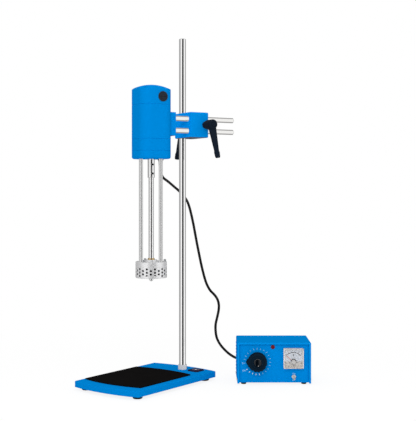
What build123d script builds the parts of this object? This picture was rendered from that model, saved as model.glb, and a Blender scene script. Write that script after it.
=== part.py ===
from math import atan2, cos, hypot, pi, radians, sin, sqrt, tan
import os
from build123d import *

os.makedirs("parts", exist_ok=True)

# All sizes are in millimetres and all angles in degrees.
# The origin is on the bench, in the middle of the stand and the control box together.
# X runs to the right along the front of the control box, Y to the rear and Z up.

# Fits between pieces that move on each other
shaft_play = 0.05
panel_play = 0.3
thread_depth = 9.0

# Where the stand's column and the control box are
column_x = -30.4
column_y = 81.9
arm_turn = 30.0
plate_turn = -36.4

# Base plate, in its own axes: length from front to rear, column near the rear edge
plate_width = 185.0
plate_length = 274.0
plate_bow = 11.0
plate_thickness = 13.0
plate_corner = 5.0
plate_edge = 1.5
foot_height = 7.0
foot_radius = 10.5
foot_inset = 19.0
column_from_middle = 13.9
column_from_rear = 25.0

# Rubber mat in front of the column
mat_width = 160.5
mat_length = 172.0
mat_from_right = 17.5
mat_from_front = 27.5
mat_thickness = 1.6
mat_rim = 3.0
mat_rim_height = 0.9

# Bull's-eye level beside the column
level_size = 28.0
level_height = 3.0
level_from_rear = 23.0
level_from_right = 41.0
vial_radius = 9.5
vial_height = 3.2

# Column, its nut and the screw under the plate
column_radius = 8.0
column_top = 791.0
spigot_radius = 6.0
nut_across = 18.5
nut_height = 11.0
column_edge = 1.2
column_screw_radius = 8.5
column_screw_height = 5.0
column_screw_room = 1.5
column_socket_radius = 4.0
column_socket_depth = 3.0

# Motor: a rounded square housing of four castings, its axis is the arm's origin
rod_reach = 106.4
rod_offset = 49.6
motor_side = 76.0
motor_corner = 22.0
motor_bore = 33.2
motor_bottom = 507.5
flange_height = 18.1
lower_height = 26.2
main_height = 76.2
cap_height = 45.0
motor_foot_round = 5.0
motor_crown = 11.0
crown_edge = 1.5
crown_wall = 9.0
seam_chamfer = 0.5
through_bolt_place = 27.5
through_bolt_radius = 2.0
bolt_head_radius = 3.5
bolt_head_height = 4.0
bolt_head_sink = 12.0
bolt_socket_radius = 1.9
bolt_socket_depth = 2.0

# Motor inside
motor_shaft_radius = 6.0
shaft_journal_radius = 4.0
shaft_room = 1.5
shaft_end_room = 1.0
lower_bearing_radius = 14.0
lower_bearing_width = 8.0
upper_bearing_radius = 11.0
upper_bearing_width = 7.0
bearing_floor = 4.0
bearing_room = 2.0
bearing_boss_wall = 3.0
stator_length = 56.0
stator_ring = 4.2
stator_bore = 19.3
pole_width = 22.0
coil_width = 4.0
coil_height = 5.0
armature_radius = 19.0
armature_length = 52.0
armature_slots = 12
armature_slot_depth = 2.5
armature_slot_width = 2.2
commutator_radius = 13.0
commutator_length = 16.0
fan_radius = 28.0
fan_height = 13.0
fan_blades = 11
fan_disc = 2.0
fan_hub = 10.0
fan_room = 4.0

# Brush gear
brush_above_seam = 17.0
brush_offset = 10.0
brush_cap_radius = 11.25
brush_cap_proud = 2.2
brush_cap_sunk = 2.0
brush_slot = 2.2
brush_holder_radius = 5.5
brush_width = 5.6
brush_depth = 7.4
brush_holder_inner = 16.0

# Guide rods, their bracket and the clamp block
guide_radius = 6.0
guide_above_bottom = 65.9
guide_pitch = 27.5
guide_start = 44.0
guide_end = 214.0
guide_bevel = 1.5
bracket_end = 57.5
bracket_width = 24.0
bracket_height = 53.0
bracket_edge = 2.5
bracket_screw_radius = 2.5
bracket_screw_sunk = 0.6
clamp_start = 93.0
clamp_end = 141.0
clamp_near = 12.8
clamp_wall = 14.3
clamp_height = 58.0
clamp_edge = 3.0
clamp_slit = 2.0
slit_start = 98.0
lever_place = 132.0

# Clamping levers
lever_collar_radius = 8.0
lever_collar_height = 11.0
lever_head_radius = 11.0
lever_height = 38.5
lever_length = 73.0
lever_lean = 18.0
lever_sections = ((0.05, 13.0, 16.0), (0.30, 10.5, 13.4), (0.60, 8.6, 11.0), (0.79, 7.4, 9.4),
                  (0.87, 8.4, 11.8), (0.985, 7.0, 10.4))
lever_tip_round = 2.5
rod_lever_turn = 8.0
column_lever_turn = 13.0
lever_button_radius = 5.0
lever_button_height = 1.5
stud_radius = 4.0
stud_reach = 30.0
stud_in_hub = 21.0
stud_tip_room = 1.0

# Shaft, coupling and support rods below the motor
coupling_radius = 8.0
coupling_gap = 1.0
coupling_length = 40.7
set_screw_low = 9.3
set_screw_high = 29.4
set_screw_radius = 2.4
mixing_shaft_radius = 6.0
support_radius = 4.5
support_circle = 25.4
support_spigot = 3.0

# Working head
head_radius = 35.0
head_drop = 228.7
head_height = 35.8
flange_depth = 11.5
hub_radius = 14.0
hub_rise = 4.0
bush_radius = 7.75
bush_rise = 7.2
window_inner = 17.0
window_outer = 27.0
window_angle = 62.0
head_plate_thickness = 5.0
sleeve_wall = 2.6
sleeve_lip = 2.0
sleeve_mouth = 24.0
hole_radius = 2.45
hole_turn = 17.3
hole_columns = 24
hole_pitch = 7.5
hole_top_drop = 3.7
head_screw_circle = 30.6
head_screw_radius = 2.6
head_screw_shank = 1.5
head_screw_head = 5.0
head_socket_radius = 1.4
rotor_radius = 31.6
rotor_blades = 4
rotor_height = 15.0
rotor_lift = 3.4
rotor_hub = 10.0
rotor_web = 3.0
blade_thickness = 3.0
rod_nut_across = 9.0
rod_nut_height = 4.5
rotor_turn = 20.0
tip_radius = 4.6
tip_reach = 8.6
tip_thread = 3.0
tip_thread_length = 6.0
tip_flats = 3.0

# Control box
box_left = 95.4
box_front = -3.0
box_width = 165.6
box_depth = 104.5
box_bottom = 5.0
box_top = 95.4
box_wall = 2.0
box_lip = 4.4
box_skirt = 1.6
cover_round = 2.5
panel_inset = 4.0
panel_thickness = 2.0
rear_inset = 1.0
tab_height = 12.0
box_foot_radius = 6.0
box_foot_left = 14.4
box_foot_right = box_width - 15.0
box_foot_inset = 16.0
louvre_count = 9
louvre_pitch = 7.5
louvre_length = 66.0
louvre_proud = 1.4
louvre_height = 4.0
louvre_opening = 1.8
louvre_end = 2.0
louvre_first = 18.0
cover_screw_radius = 2.6
cover_screw_shank = 1.6
cover_screw_inset = 13.0
cover_screw_height = 6.0
cover_screw_proud = 1.4
cover_screw_slot = 0.8
cover_slot_depth = 0.9

# Speed control on the panel, measured from the box's left side
knob_from_left = 45.0
knob_height = 51.8
knob_radius = 21.5
knob_tip = 25.8
knob_nose_radius = 1.0
knob_height_over = 14.0
knob_bevel = 0.7
knob_skirt = 3.0
knob_flutes = 11
knob_flute_radius = 3.0
knob_flute_start = 62.0
knob_dish_radius = 15.5
knob_dish = 1.2
knob_cap_radius = 7.5
knob_cap_height = 3.0
knob_cap_round = 1.2
knob_shaft_radius = 3.0
control_radius = 21.0
control_depth = 26.0

# Lamp, meter and switch on the panel
lamp_from_left = box_width / 2 - 3.0
lamp_height = 84.9
lamp_radius = 4.5
lamp_proud = 3.0
lamp_rim = 1.2
lamp_depth = 4.0
lamp_body_depth = 18.0
meter_from_left = box_width - 39.5
meter_height = 59.8
meter_size = 45.0
meter_proud = 10.0
meter_wall = 2.0
meter_barrel_radius = 19.0
meter_barrel_depth = 28.0
meter_window_thickness = 2.0
meter_round = 1.5
meter_back = 2.0
meter_face_thickness = 1.0
needle_drop = 8.4
needle_length = 21.0
needle_tail = 4.0
needle_width = 0.9
needle_thickness = 0.6
needle_hub_radius = 2.4
needle_hub_height = 1.4
needle_pin_radius = 0.8
needle_pin_depth = 1.5
needle_rest = 48.0
switch_from_left = box_width - 38.6
switch_height = 18.1
switch_collar_radius = 3.4
switch_collar = 5.0
switch_body = (14.0, 20.0, 12.0)
switch_nut_across = 9.0
switch_nut_height = 1.8
toggle_length = 12.0
toggle_ball_radius = 2.2
toggle_neck_radius = 1.3
toggle_tilt = 12.5

# Rear of the box and the inside
gland_from_left = 82.6
gland_height = 28.0
boot_radius = 6.5
boot_tip_radius = 4.2
boot_length = 18.5
boot_flange = 2.0
boot_grooves = 3
boot_groove_width = 1.0
cord_straight = 12.0
inlet_from_left = box_width - 37.6
inlet_height = 30.0
inlet_size = (28.0, 22.0)
inlet_depth = 20.0
inlet_flange = 2.0
inlet_wall = 2.0
inlet_room = 14.0
pin_places = ((-7.0, 0.0), (7.0, 0.0), (0.0, 4.0))
pin_size = (2.0, 4.0)
pin_length = 12.0
fuse_from_left = box_width - 37.6
fuse_height = 64.0
fuse_radius = 7.0
fuse_proud = 8.0
fuse_depth = 24.0
fuse_barrel_radius = 5.5
fuse_slot = (10.0, 2.0, 1.5)
core_size = (54.0, 20.0, 45.0)
core_leg = 18.0
core_window = 9.0
core_from_left = 45.0
core_from_rear = 24.0
winding_over = 10.0

# Cord from the motor to the box, laid by hand along its route
cord_radius = 3.0
upper_route = [
    (-77.9, 9.8, motor_bottom - boot_length), (-77.9, 9.8, motor_bottom - boot_length - cord_straight),
    (-73.5, 23.5, 466.0), (-64.0, 52.0, 459.0), (-50.0, 84.0, 446.0), (-38.5, 101.0, 436.0),
    (-22.5, 108.5, 417.5), (-15.0, 112.0, 400.0), (-10.7, 113.0, 381.4),
]
middle_route = [
    (-10.7, 113.0, 381.4), (-6.4, 114.0, 362.8), (-1.5, 114.5, 336.0), (3.3, 115.2, 310.0),
    (8.5, 115.6, 284.0), (13.5, 116.2, 259.6), (19.0, 116.5, 237.0), (24.5, 117.0, 218.0),
    (33.5, 117.5, 200.0), (45.5, 118.0, 189.0), (53.5, 118.7, 176.0), (55.8, 119.3, 159.0),
    (51.5, 120.0, 137.0), (46.3, 122.2, 117.0), (47.3, 124.0, 103.0),
]
lower_route = [
    (47.3, 124.0, 103.0), (48.3, 125.8, 89.0), (56.5, 131.0, 71.0), (68.5, 136.5, 56.0),
    (83.0, 143.0, 42.0), (101.0, 153.0, 31.0), (125.0, 166.0, 26.0), (152.0, 168.0, 26.0),
    (172.0, 154.0, 27.0), (178.0, 133.0, 28.0), (178.0, 116.5, 28.0),
]

# Places that follow from the sizes above
plate_bottom = foot_height
plate_top = plate_bottom + plate_thickness
nut_top = plate_top + nut_height
lower_seam = motor_bottom + flange_height
main_seam = lower_seam + lower_height
cap_seam = main_seam + main_height
motor_top = cap_seam + cap_height
motor_half = motor_side / 2
corner_reach = motor_half * sqrt(2) - motor_corner * (sqrt(2) - 1)
crown_radius = (corner_reach ** 2 + motor_crown ** 2) / (2 * motor_crown)
motor_ceiling = motor_top - crown_wall
bearing_seat = motor_bottom + bearing_floor
brush_height = cap_seam + brush_above_seam
guide_low = motor_bottom + guide_above_bottom
head_top = motor_bottom - head_drop
head_bottom = head_top - head_height
guide_heights = (guide_low, guide_low + guide_pitch)
guide_middle = guide_low + guide_pitch / 2
clamp_far = rod_offset + clamp_wall
panel_face = box_front + panel_inset
panel_back = panel_face + panel_thickness
box_rear = box_front + box_depth
rear_face = box_rear - rear_inset
box_right = box_left + box_width
coupling_top = motor_bottom - coupling_gap
coupling_bottom = coupling_top - coupling_length
flange_bottom = head_top - flange_depth
sleeve_bore = head_radius - sleeve_wall
rotor_bottom = head_bottom + rotor_lift
rotor_top = rotor_bottom + rotor_height
support_angles = (180.0, -60.0, 60.0)

# The arm's axes: origin on the motor shaft, X along the guide rods, Z up
turn = radians(arm_turn)
motor_x = column_x - rod_reach * cos(turn) + rod_offset * sin(turn)
motor_y = column_y - rod_reach * sin(turn) - rod_offset * cos(turn)
arm = Location((motor_x, motor_y, 0), (0, 0, arm_turn))

# The base plate's axes: origin in its middle, Y along its length, Z up
swing = radians(plate_turn)
column_in_plate_y = plate_length / 2 - column_from_rear
plate_x = column_x - column_from_middle * cos(swing) + column_in_plate_y * sin(swing)
plate_y = column_y - column_from_middle * sin(swing) - column_in_plate_y * cos(swing)
plate = Location((plate_x, plate_y, 0), (0, 0, plate_turn))

pieces = {}


def block(x0, x1, y0, y1, z0, z1):
    """A block between two corners."""
    return Pos((x0 + x1) / 2, (y0 + y1) / 2, (z0 + z1) / 2) * Box(x1 - x0, y1 - y0, z1 - z0)


def post(radius, z0, z1, x=0.0, y=0.0):
    """An upright cylinder."""
    return Pos(x, y, (z0 + z1) / 2) * Cylinder(radius, z1 - z0)


def rod_x(radius, x0, x1, y, z):
    """A cylinder along X."""
    return Pos((x0 + x1) / 2, y, z) * Rot(0, 90, 0) * Cylinder(radius, x1 - x0)


def rod_y(radius, y0, y1, x, z):
    """A cylinder along Y."""
    return Pos(x, (y0 + y1) / 2, z) * Rot(90, 0, 0) * Cylinder(radius, y1 - y0)


def tube(outer, inner, z0, z1, x=0.0, y=0.0):
    return post(outer, z0, z1, x, y) - post(inner, z0, z1, x, y)


def hexagon(across, z0, z1, x=0.0, y=0.0):
    """An upright hexagonal prism, its top edge bevelled as on a turned nut."""
    prism = Pos(x, y, z0) * extrude(RegularPolygon(across / 2, 6, major_radius=False), z1 - z0)
    bevel = across * 0.08
    cone = Pos(x, y, (z0 + z1) / 2) * Cone(
        across * 0.5 + (z1 - z0) + bevel, across * 0.5 + bevel, z1 - z0)
    return prism & cone


def socket(radius, depth, top, x, y):
    """The room of a hexagonal key in a bolt's head."""
    return Pos(x, y, top - depth) * extrude(RegularPolygon(radius, 6), depth)


def solids(shapes):
    """Several separate solids as one group."""
    return Compound(children=list(shapes))


def at_corners(reach):
    return [(sx * reach, sy * reach) for sx in (-1, 1) for sy in (-1, 1)]


def bowed_outline(width, length, bow):
    """A rectangle whose front and rear edges bulge outwards."""
    w, h = width / 2, length / 2
    edges = [
        ThreePointArc((-w, -h), (0, -h - bow), (w, -h)),
        Line((w, -h), (w, h)),
        ThreePointArc((w, h), (0, h + bow), (-w, h)),
        Line((-w, h), (-w, -h)),
    ]
    return make_face(Wire(edges))


def upright(shape):
    return shape.edges().filter_by(Axis.Z)


def level_edges(shape, z):
    return shape.edges().filter_by_position(Axis.Z, z - 0.01, z + 0.01)


# Base plate with its feet, mat, level, nut and column


def make_base():
    body = extrude(bowed_outline(plate_width, plate_length, plate_bow), plate_thickness)
    body = fillet(upright(body), plate_corner)
    body = fillet(body.faces().sort_by(Axis.Z)[-1].edges(), plate_edge)
    body = Pos(0, 0, plate_bottom) * body
    cx, cy = column_from_middle, column_in_plate_y
    body -= post(spigot_radius + shaft_play, plate_bottom, plate_top, cx, cy)
    sink = plate_bottom + column_screw_height + 1
    body -= post(column_screw_radius + column_screw_room, plate_bottom, sink, cx, cy)
    pieces["base_plate"] = plate * body

    nut = hexagon(nut_across, plate_top, nut_top) - post(
        spigot_radius + shaft_play, plate_top, nut_top)
    pieces["column_nut"] = plate * (Pos(cx, cy, 0) * nut)


def make_feet():
    """The four feet of the base plate and the four of the control box."""
    foot = chamfer(level_edges(post(foot_radius, 0, foot_height), 0), 1.5)
    fx, fy = plate_width / 2 - foot_inset, plate_length / 2 - foot_inset
    feet = [plate * Pos(sx * fx, sy * fy, 0) * foot for sx in (-1, 1) for sy in (-1, 1)]
    for x in (box_left + box_foot_left, box_left + box_foot_right):
        for y in (box_front + box_foot_inset, box_rear - box_foot_inset):
            small = post(box_foot_radius, 0, box_bottom, x, y)
            feet.append(chamfer(level_edges(small, 0), 1.0))
    pieces["rubber_feet"] = solids(feet)


def make_mat():
    sheet = extrude(bowed_outline(mat_width, mat_length, plate_bow), mat_thickness + mat_rim_height)
    field = bowed_outline(mat_width - 2 * mat_rim, mat_length - 2 * mat_rim, plate_bow)
    sheet -= Pos(0, 0, mat_thickness) * extrude(field, mat_rim_height)
    mx = plate_width / 2 - mat_from_right - mat_width / 2
    my = -plate_length / 2 + mat_from_front + mat_length / 2
    pieces["rubber_mat"] = plate * (Pos(mx, my, plate_top) * sheet)


def make_level():
    frame = extrude(RectangleRounded(level_size, level_size, 2.0), level_height)
    frame = chamfer(frame.faces().sort_by(Axis.Z)[-1].edges(), 0.6)
    frame -= post(vial_radius, level_height * 0.3, level_height)
    vial = post(vial_radius, level_height * 0.3, vial_height)
    vial = fillet(level_edges(vial, vial_height), 0.2)
    place = Pos(plate_width / 2 - level_from_right, plate_length / 2 - level_from_rear, plate_top)
    pieces["level_frame"] = plate * (place * frame)
    pieces["level_vial"] = plate * (place * vial)


def make_column():
    screw_top = plate_bottom + column_screw_height + 1
    body = post(column_radius, nut_top, column_top)
    body = chamfer(level_edges(body, column_top), column_edge)
    body += post(spigot_radius, screw_top, nut_top)
    pieces["column"] = Pos(column_x, column_y, 0) * body
    head = post(column_screw_radius, screw_top - column_screw_height, screw_top)
    head -= socket(column_socket_radius, column_socket_depth,
                   screw_top - column_screw_height + column_socket_depth, 0, 0)
    pieces["column_screw"] = Pos(column_x, column_y, 0) * head


# Clamp block and its two levers


def make_clamp():
    low = guide_middle - clamp_height / 2
    high = guide_middle + clamp_height / 2
    body = block(clamp_start, clamp_end, -clamp_near, clamp_far, low, high)
    body = fillet(body.edges(), clamp_edge)
    for z in guide_heights:
        body -= rod_x(guide_radius + shaft_play, clamp_start, clamp_end, 0, z)
    body -= post(column_radius + shaft_play, low, high, rod_reach, rod_offset)
    half = clamp_slit / 2
    body -= block(slit_start, clamp_end, -half, half, low, high)
    body -= block(rod_reach, clamp_end, rod_offset - half, rod_offset + half, low, high)
    reach = stud_reach + stud_tip_room
    stud_hole = stud_radius + shaft_play
    body -= rod_y(stud_hole, -clamp_near, -clamp_near + reach, lever_place, guide_middle)
    body -= rod_y(stud_hole, clamp_far - reach, clamp_far, lever_place, guide_middle)
    pieces["clamp_block"] = arm * body


def lever_arm():
    """The handle: sections along a straight line that leans away from the block."""
    slope = lever_lean / lever_length
    start = (lever_height + lever_collar_height) / 2 - lever_head_radius * slope * 0.3
    faces = []
    for share, thick, wide in lever_sections:
        x = share * lever_length
        where = Plane(origin=(x, 0, start + slope * x), x_dir=(0, 1, 0), z_dir=(1, 0, slope))
        faces.append(where * RectangleRounded(wide, thick, thick * 0.42))
    arm_shape = loft(faces)
    return fillet(arm_shape.faces().sort_by(Axis.X)[-1].edges(), lever_tip_round)


def lever():
    """One lever, its turning axis along Z, from the block's face up."""
    hub = post(lever_collar_radius, 0, lever_collar_height)
    head = post(lever_head_radius, lever_collar_height, lever_height)
    head = fillet(level_edges(head, lever_height), 4.0)
    head = fillet(level_edges(head, lever_collar_height), 1.5)
    shape = hub + head + lever_arm()
    sink = lever_height - lever_button_height
    button = post(lever_button_radius, sink, lever_height)
    button = fillet(level_edges(button, lever_height), 0.5)
    shape -= post(lever_button_radius + 0.5, sink, lever_height)
    return shape + button - post(stud_radius, 0, stud_in_hub)


def lever_stud():
    shank = post(stud_radius, -stud_reach, stud_in_hub)
    return chamfer(level_edges(shank, -stud_reach), 0.8)


def make_levers():
    near = Plane(origin=(lever_place, -clamp_near, guide_middle), x_dir=(0, 0, -1), z_dir=(0, -1, 0))
    far = Plane(origin=(lever_place, clamp_far, guide_middle), x_dir=(0, 0, -1), z_dir=(0, 1, 0))
    for name, where, lean in (("rod_lever", near, rod_lever_turn), ("column_lever", far, column_lever_turn)):
        pieces[name] = arm * where.location * Rot(0, 0, lean) * lever()
        pieces[name + "_stud"] = arm * where.location * lever_stud()


def make_guides():
    rods = []
    for z in guide_heights:
        rod = rod_x(guide_radius, guide_start, guide_end, 0, z)
        tip = rod.edges().filter_by_position(Axis.X, guide_end - 0.01, guide_end + 0.01)
        rods.append(chamfer(tip, guide_bevel))
    pieces["guide_rods"] = arm * solids(rods)

    low = guide_middle - bracket_height / 2
    high = guide_middle + bracket_height / 2
    half = bracket_width / 2
    body = block(motor_half, bracket_end, -half, half, low, high)
    outer = body.faces().sort_by(Axis.X)[-1].edges()
    body = fillet(outer, bracket_edge)
    for z in guide_heights:
        body -= rod_x(guide_radius, guide_start, bracket_end, 0, z)
        body -= rod_y(bracket_screw_radius, -half, -guide_radius + 1, (guide_start + bracket_end) / 2, z)
    for y in (-half / 2, half / 2):
        body -= rod_x(bracket_screw_radius, motor_half, motor_half + thread_depth, y, guide_middle)
    pieces["rod_bracket"] = arm * body

    screws = []
    for z in guide_heights:
        x = (guide_start + bracket_end) / 2
        screws.append(rod_y(bracket_screw_radius, -half + bracket_screw_sunk, -guide_radius, x, z))
    for y in (-half / 2, half / 2):
        screws.append(rod_x(bracket_screw_radius, motor_bore, motor_half + thread_depth, y, guide_middle))
    pieces["bracket_screws"] = arm * solids(screws)


# Motor castings and what they hold


def casting(z0, z1):
    """One rounded square casting, solid."""
    return Pos(0, 0, z0) * extrude(RectangleRounded(motor_side, motor_side, motor_corner), z1 - z0)


def ring_casting(z0, z1):
    """A bored casting with a small bevel at each seam."""
    shape = casting(z0, z1) - post(motor_bore, z0, z1)
    return bevel_rim(bevel_rim(shape, z0), z1)


def bevel_rim(shape, z):
    """Bevel the outer edge of a casting at height z."""
    rim = level_edges(shape, z).filter_by(lambda edge: edge.bounding_box().size.length > 1)
    outer = [e for e in rim if hypot(e.center().X, e.center().Y) > motor_bore + 1.5]
    return chamfer(outer, seam_chamfer)


def bolt_holes(shape, z0, z1):
    for x, y in at_corners(through_bolt_place):
        shape -= post(through_bolt_radius, z0, z1, x, y)
    return shape


def make_housing():
    flange = casting(motor_bottom, lower_seam)
    flange = fillet(flange.faces().sort_by(Axis.Z)[0].edges(), motor_foot_round)
    flange = chamfer(flange.faces().sort_by(Axis.Z)[-1].edges(), seam_chamfer)
    shelf = bearing_seat + lower_bearing_width + bearing_room
    flange -= post(motor_bore, shelf, lower_seam)
    flange -= post(lower_bearing_radius, bearing_seat, shelf)
    flange -= post(motor_shaft_radius + shaft_room, motor_bottom, bearing_seat)
    for angle in support_angles:
        x, y = support_circle * cos(radians(angle)), support_circle * sin(radians(angle))
        flange -= post(support_radius, motor_bottom, motor_bottom + thread_depth, x, y)
    gx, gy = gland_place()
    flange -= post(cord_radius, motor_bottom, lower_seam, gx, gy)
    flange = bolt_holes(flange, motor_bottom + thread_depth, lower_seam)
    pieces["bottom_flange"] = arm * flange

    pieces["lower_housing"] = arm * bolt_holes(ring_casting(lower_seam, main_seam), lower_seam, main_seam)

    main = bolt_holes(ring_casting(main_seam, cap_seam), main_seam, cap_seam)
    for y in (-bracket_width / 4, bracket_width / 4):
        main -= rod_x(bracket_screw_radius, motor_bore - 2, motor_half, y, guide_middle)
    pieces["main_housing"] = arm * main

    cap = casting(cap_seam, motor_top) & Pos(0, 0, motor_top - crown_radius) * Sphere(crown_radius)
    high = cap.edges().filter_by(lambda edge: edge.center().Z > motor_top - 1.5 * motor_crown)
    cap = fillet([edge for edge in high if hypot(edge.center().X, edge.center().Y) > motor_bore], crown_edge)
    cap = chamfer(level_edges(cap, cap_seam), seam_chamfer)
    cap -= post(motor_bore, cap_seam, motor_ceiling)
    boss = motor_ceiling - upper_bearing_width - bearing_room
    cap += tube(upper_bearing_radius + bearing_boss_wall, upper_bearing_radius, boss, motor_ceiling)
    top = motor_top - bolt_head_sink - bolt_head_height
    cap = bolt_holes(cap, cap_seam, top)
    for x, y in at_corners(through_bolt_place):
        cap -= post(bolt_head_radius, top, motor_top, x, y)
    for side in (-1, 1):
        x = -side * brush_offset
        outer, sink = side * motor_half, side * (motor_half - brush_cap_sunk)
        cap -= rod_y(brush_cap_radius, min(outer, sink), max(outer, sink), x, brush_height)
        inner = side * brush_holder_inner
        cap -= rod_y(brush_holder_radius, min(outer, inner), max(outer, inner), x, brush_height)
    pieces["top_cap"] = arm * cap

    bolts = []
    for x, y in at_corners(through_bolt_place):
        head_end = top + bolt_head_height
        bolt = post(through_bolt_radius, motor_bottom + thread_depth, top, x, y)
        bolt += post(bolt_head_radius, top, head_end, x, y)
        bolts.append(bolt - socket(bolt_socket_radius, bolt_socket_depth, head_end, x, y))
    pieces["through_bolts"] = arm * solids(bolts)


def gland_place():
    """Where the motor's cord leaves, in the arm's axes."""
    dx, dy = upper_route[0][0] - motor_x, upper_route[0][1] - motor_y
    return dx * cos(turn) + dy * sin(turn), -dx * sin(turn) + dy * cos(turn)


def make_motor_inside():
    low = tube(lower_bearing_radius, motor_shaft_radius + shaft_play,
               bearing_seat, bearing_seat + lower_bearing_width)
    high = tube(upper_bearing_radius, shaft_journal_radius + shaft_play,
                motor_ceiling - upper_bearing_width, motor_ceiling)
    pieces["bearings"] = arm * solids([low, high])

    middle = (main_seam + cap_seam) / 2
    z0, z1 = middle - stator_length / 2, middle + stator_length / 2
    ring_inner = motor_bore - stator_ring
    core = tube(motor_bore, ring_inner, z0, z1)
    for side in (-1, 1):
        inner, outer = side * (stator_bore - 1), side * (ring_inner + 0.5)
        core += block(min(inner, outer), max(inner, outer), -pole_width / 2, pole_width / 2, z0, z1)
    core -= post(stator_bore, z0, z1)
    pieces["field_core"] = arm * core

    coils = []
    half = pole_width / 2 + 0.1
    for side in (-1, 1):
        inner = side * (stator_bore + 0.4)
        outer = side * (sqrt(ring_inner ** 2 - (half + coil_width) ** 2) - 0.2)
        x0, x1 = min(inner, outer), max(inner, outer)
        coil = block(x0, x1, -half - coil_width, half + coil_width, z0 - coil_height, z1 + coil_height)
        coils.append(coil - block(x0, x1, -half, half, z0 - 0.1, z1 + 0.1))
    pieces["field_coils"] = arm * solids(coils)

    holders, brushes, caps = [], [], []
    for side in (-1, 1):
        x = -side * brush_offset
        outer = side * (motor_half - brush_cap_sunk)
        inner = side * brush_holder_inner
        y0, y1 = min(outer, inner), max(outer, inner)
        holder = rod_y(brush_holder_radius, y0, y1, x, brush_height)
        near = brush_offset - brush_width / 2
        tip = side * (sqrt(commutator_radius ** 2 - near ** 2) + panel_play)
        back = side * (motor_half - 8)
        b0, b1 = min(tip, back), max(tip, back)
        w, d = brush_width / 2, brush_depth / 2
        brush = block(x - w, x + w, b0, b1, brush_height - d, brush_height + d)
        holders.append(holder - block(x - w, x + w, y0, y1, brush_height - d, brush_height + d))
        brushes.append(brush)
        face = side * (motor_half + brush_cap_proud)
        cap = rod_y(brush_cap_radius, min(outer, face), max(outer, face), x, brush_height)
        rim = cap.edges().filter_by_position(Axis.Y, face - 0.01, face + 0.01)
        cap = fillet(rim, 0.8)
        slot = side * (motor_half + brush_cap_proud - 1.4)
        s0, s1 = min(face, slot), max(face, slot)
        cap -= block(x - brush_cap_radius, x + brush_cap_radius, s0, s1,
                     brush_height - brush_slot / 2, brush_height + brush_slot / 2)
        caps.append(cap)
    pieces["brush_gear"] = arm * solids(holders + brushes)
    pieces["brush_caps"] = arm * solids(caps)


def make_rotating():
    journal = motor_ceiling - upper_bearing_width - bearing_room
    middle_of_coupling = (coupling_top + coupling_bottom) / 2
    shaft = post(motor_shaft_radius, middle_of_coupling + shaft_end_room, journal)
    shaft += post(shaft_journal_radius, journal, motor_ceiling - shaft_end_room)
    pieces["motor_shaft"] = arm * shaft

    middle = (main_seam + cap_seam) / 2
    z0, z1 = middle - armature_length / 2, middle + armature_length / 2
    armature = tube(armature_radius, motor_shaft_radius, z0, z1)
    for step in range(armature_slots):
        slot = Pos(armature_radius, 0, middle) * Box(
            2 * armature_slot_depth, armature_slot_width, armature_length)
        armature -= Rot(0, 0, step * 360 / armature_slots) * slot
    pieces["armature"] = arm * armature
    bars = tube(commutator_radius, motor_shaft_radius,
                brush_height - commutator_length / 2, brush_height + commutator_length / 2)
    pieces["commutator"] = arm * bars

    fan_bottom = lower_seam + fan_room
    fan = tube(fan_hub, motor_shaft_radius, fan_bottom, fan_bottom + fan_height)
    fan += tube(fan_radius, motor_shaft_radius, fan_bottom, fan_bottom + fan_disc)
    for step in range(fan_blades):
        blade = block(fan_hub - 1, fan_radius, -0.8, 0.8, fan_bottom, fan_bottom + fan_height)
        fan += Rot(0, 0, step * 360 / fan_blades) * blade
    pieces["cooling_fan"] = arm * fan

    collar = tube(coupling_radius, mixing_shaft_radius, coupling_bottom, coupling_top)
    collar = chamfer(level_edges(collar, coupling_bottom), 0.6)
    screws = []
    for drop in (set_screw_low, set_screw_high):
        z = coupling_bottom + drop
        collar -= rod_y(set_screw_radius, -coupling_radius, 0, 0, z)
        screw = rod_y(set_screw_radius, -coupling_radius + 0.6, -mixing_shaft_radius + 0.2, 0, z)
        screws.append(screw - post(mixing_shaft_radius, z - 4, z + 4))
    pieces["shaft_coupling"] = arm * collar
    pieces["set_screws"] = arm * solids(screws)

    mixing = post(mixing_shaft_radius, rotor_top, middle_of_coupling - shaft_end_room)
    mixing += post(shaft_journal_radius, rotor_bottom, rotor_top)
    mixing += post(tip_thread, rotor_bottom - tip_thread_length, rotor_bottom)
    pieces["mixing_shaft"] = arm * mixing

    rotor = post(rotor_hub, rotor_bottom, rotor_top)
    web_low = rotor_bottom + (rotor_height - rotor_web) / 2
    rotor += post(rotor_radius - 6, web_low, web_low + rotor_web)
    for step in range(rotor_blades):
        blade = block(rotor_hub - 1, rotor_radius, -blade_thickness / 2, blade_thickness / 2,
                      rotor_bottom, rotor_top)
        rotor += Rot(0, 0, step * 360 / rotor_blades + rotor_turn) * blade
    rotor -= post(shaft_journal_radius, rotor_bottom, rotor_top)
    pieces["rotor"] = arm * rotor

    tip_middle = head_bottom - tip_reach + tip_radius
    dome = Pos(0, 0, tip_middle) * Sphere(tip_radius)
    nut = post(tip_radius, tip_middle, rotor_bottom - tip_flats) + dome
    nut += hexagon(2 * tip_radius + 2, rotor_bottom - tip_flats, rotor_bottom)
    nut -= post(tip_thread, rotor_bottom - tip_thread_length, rotor_bottom)
    pieces["tip_nut"] = arm * nut


# Support rods and the working head


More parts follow.
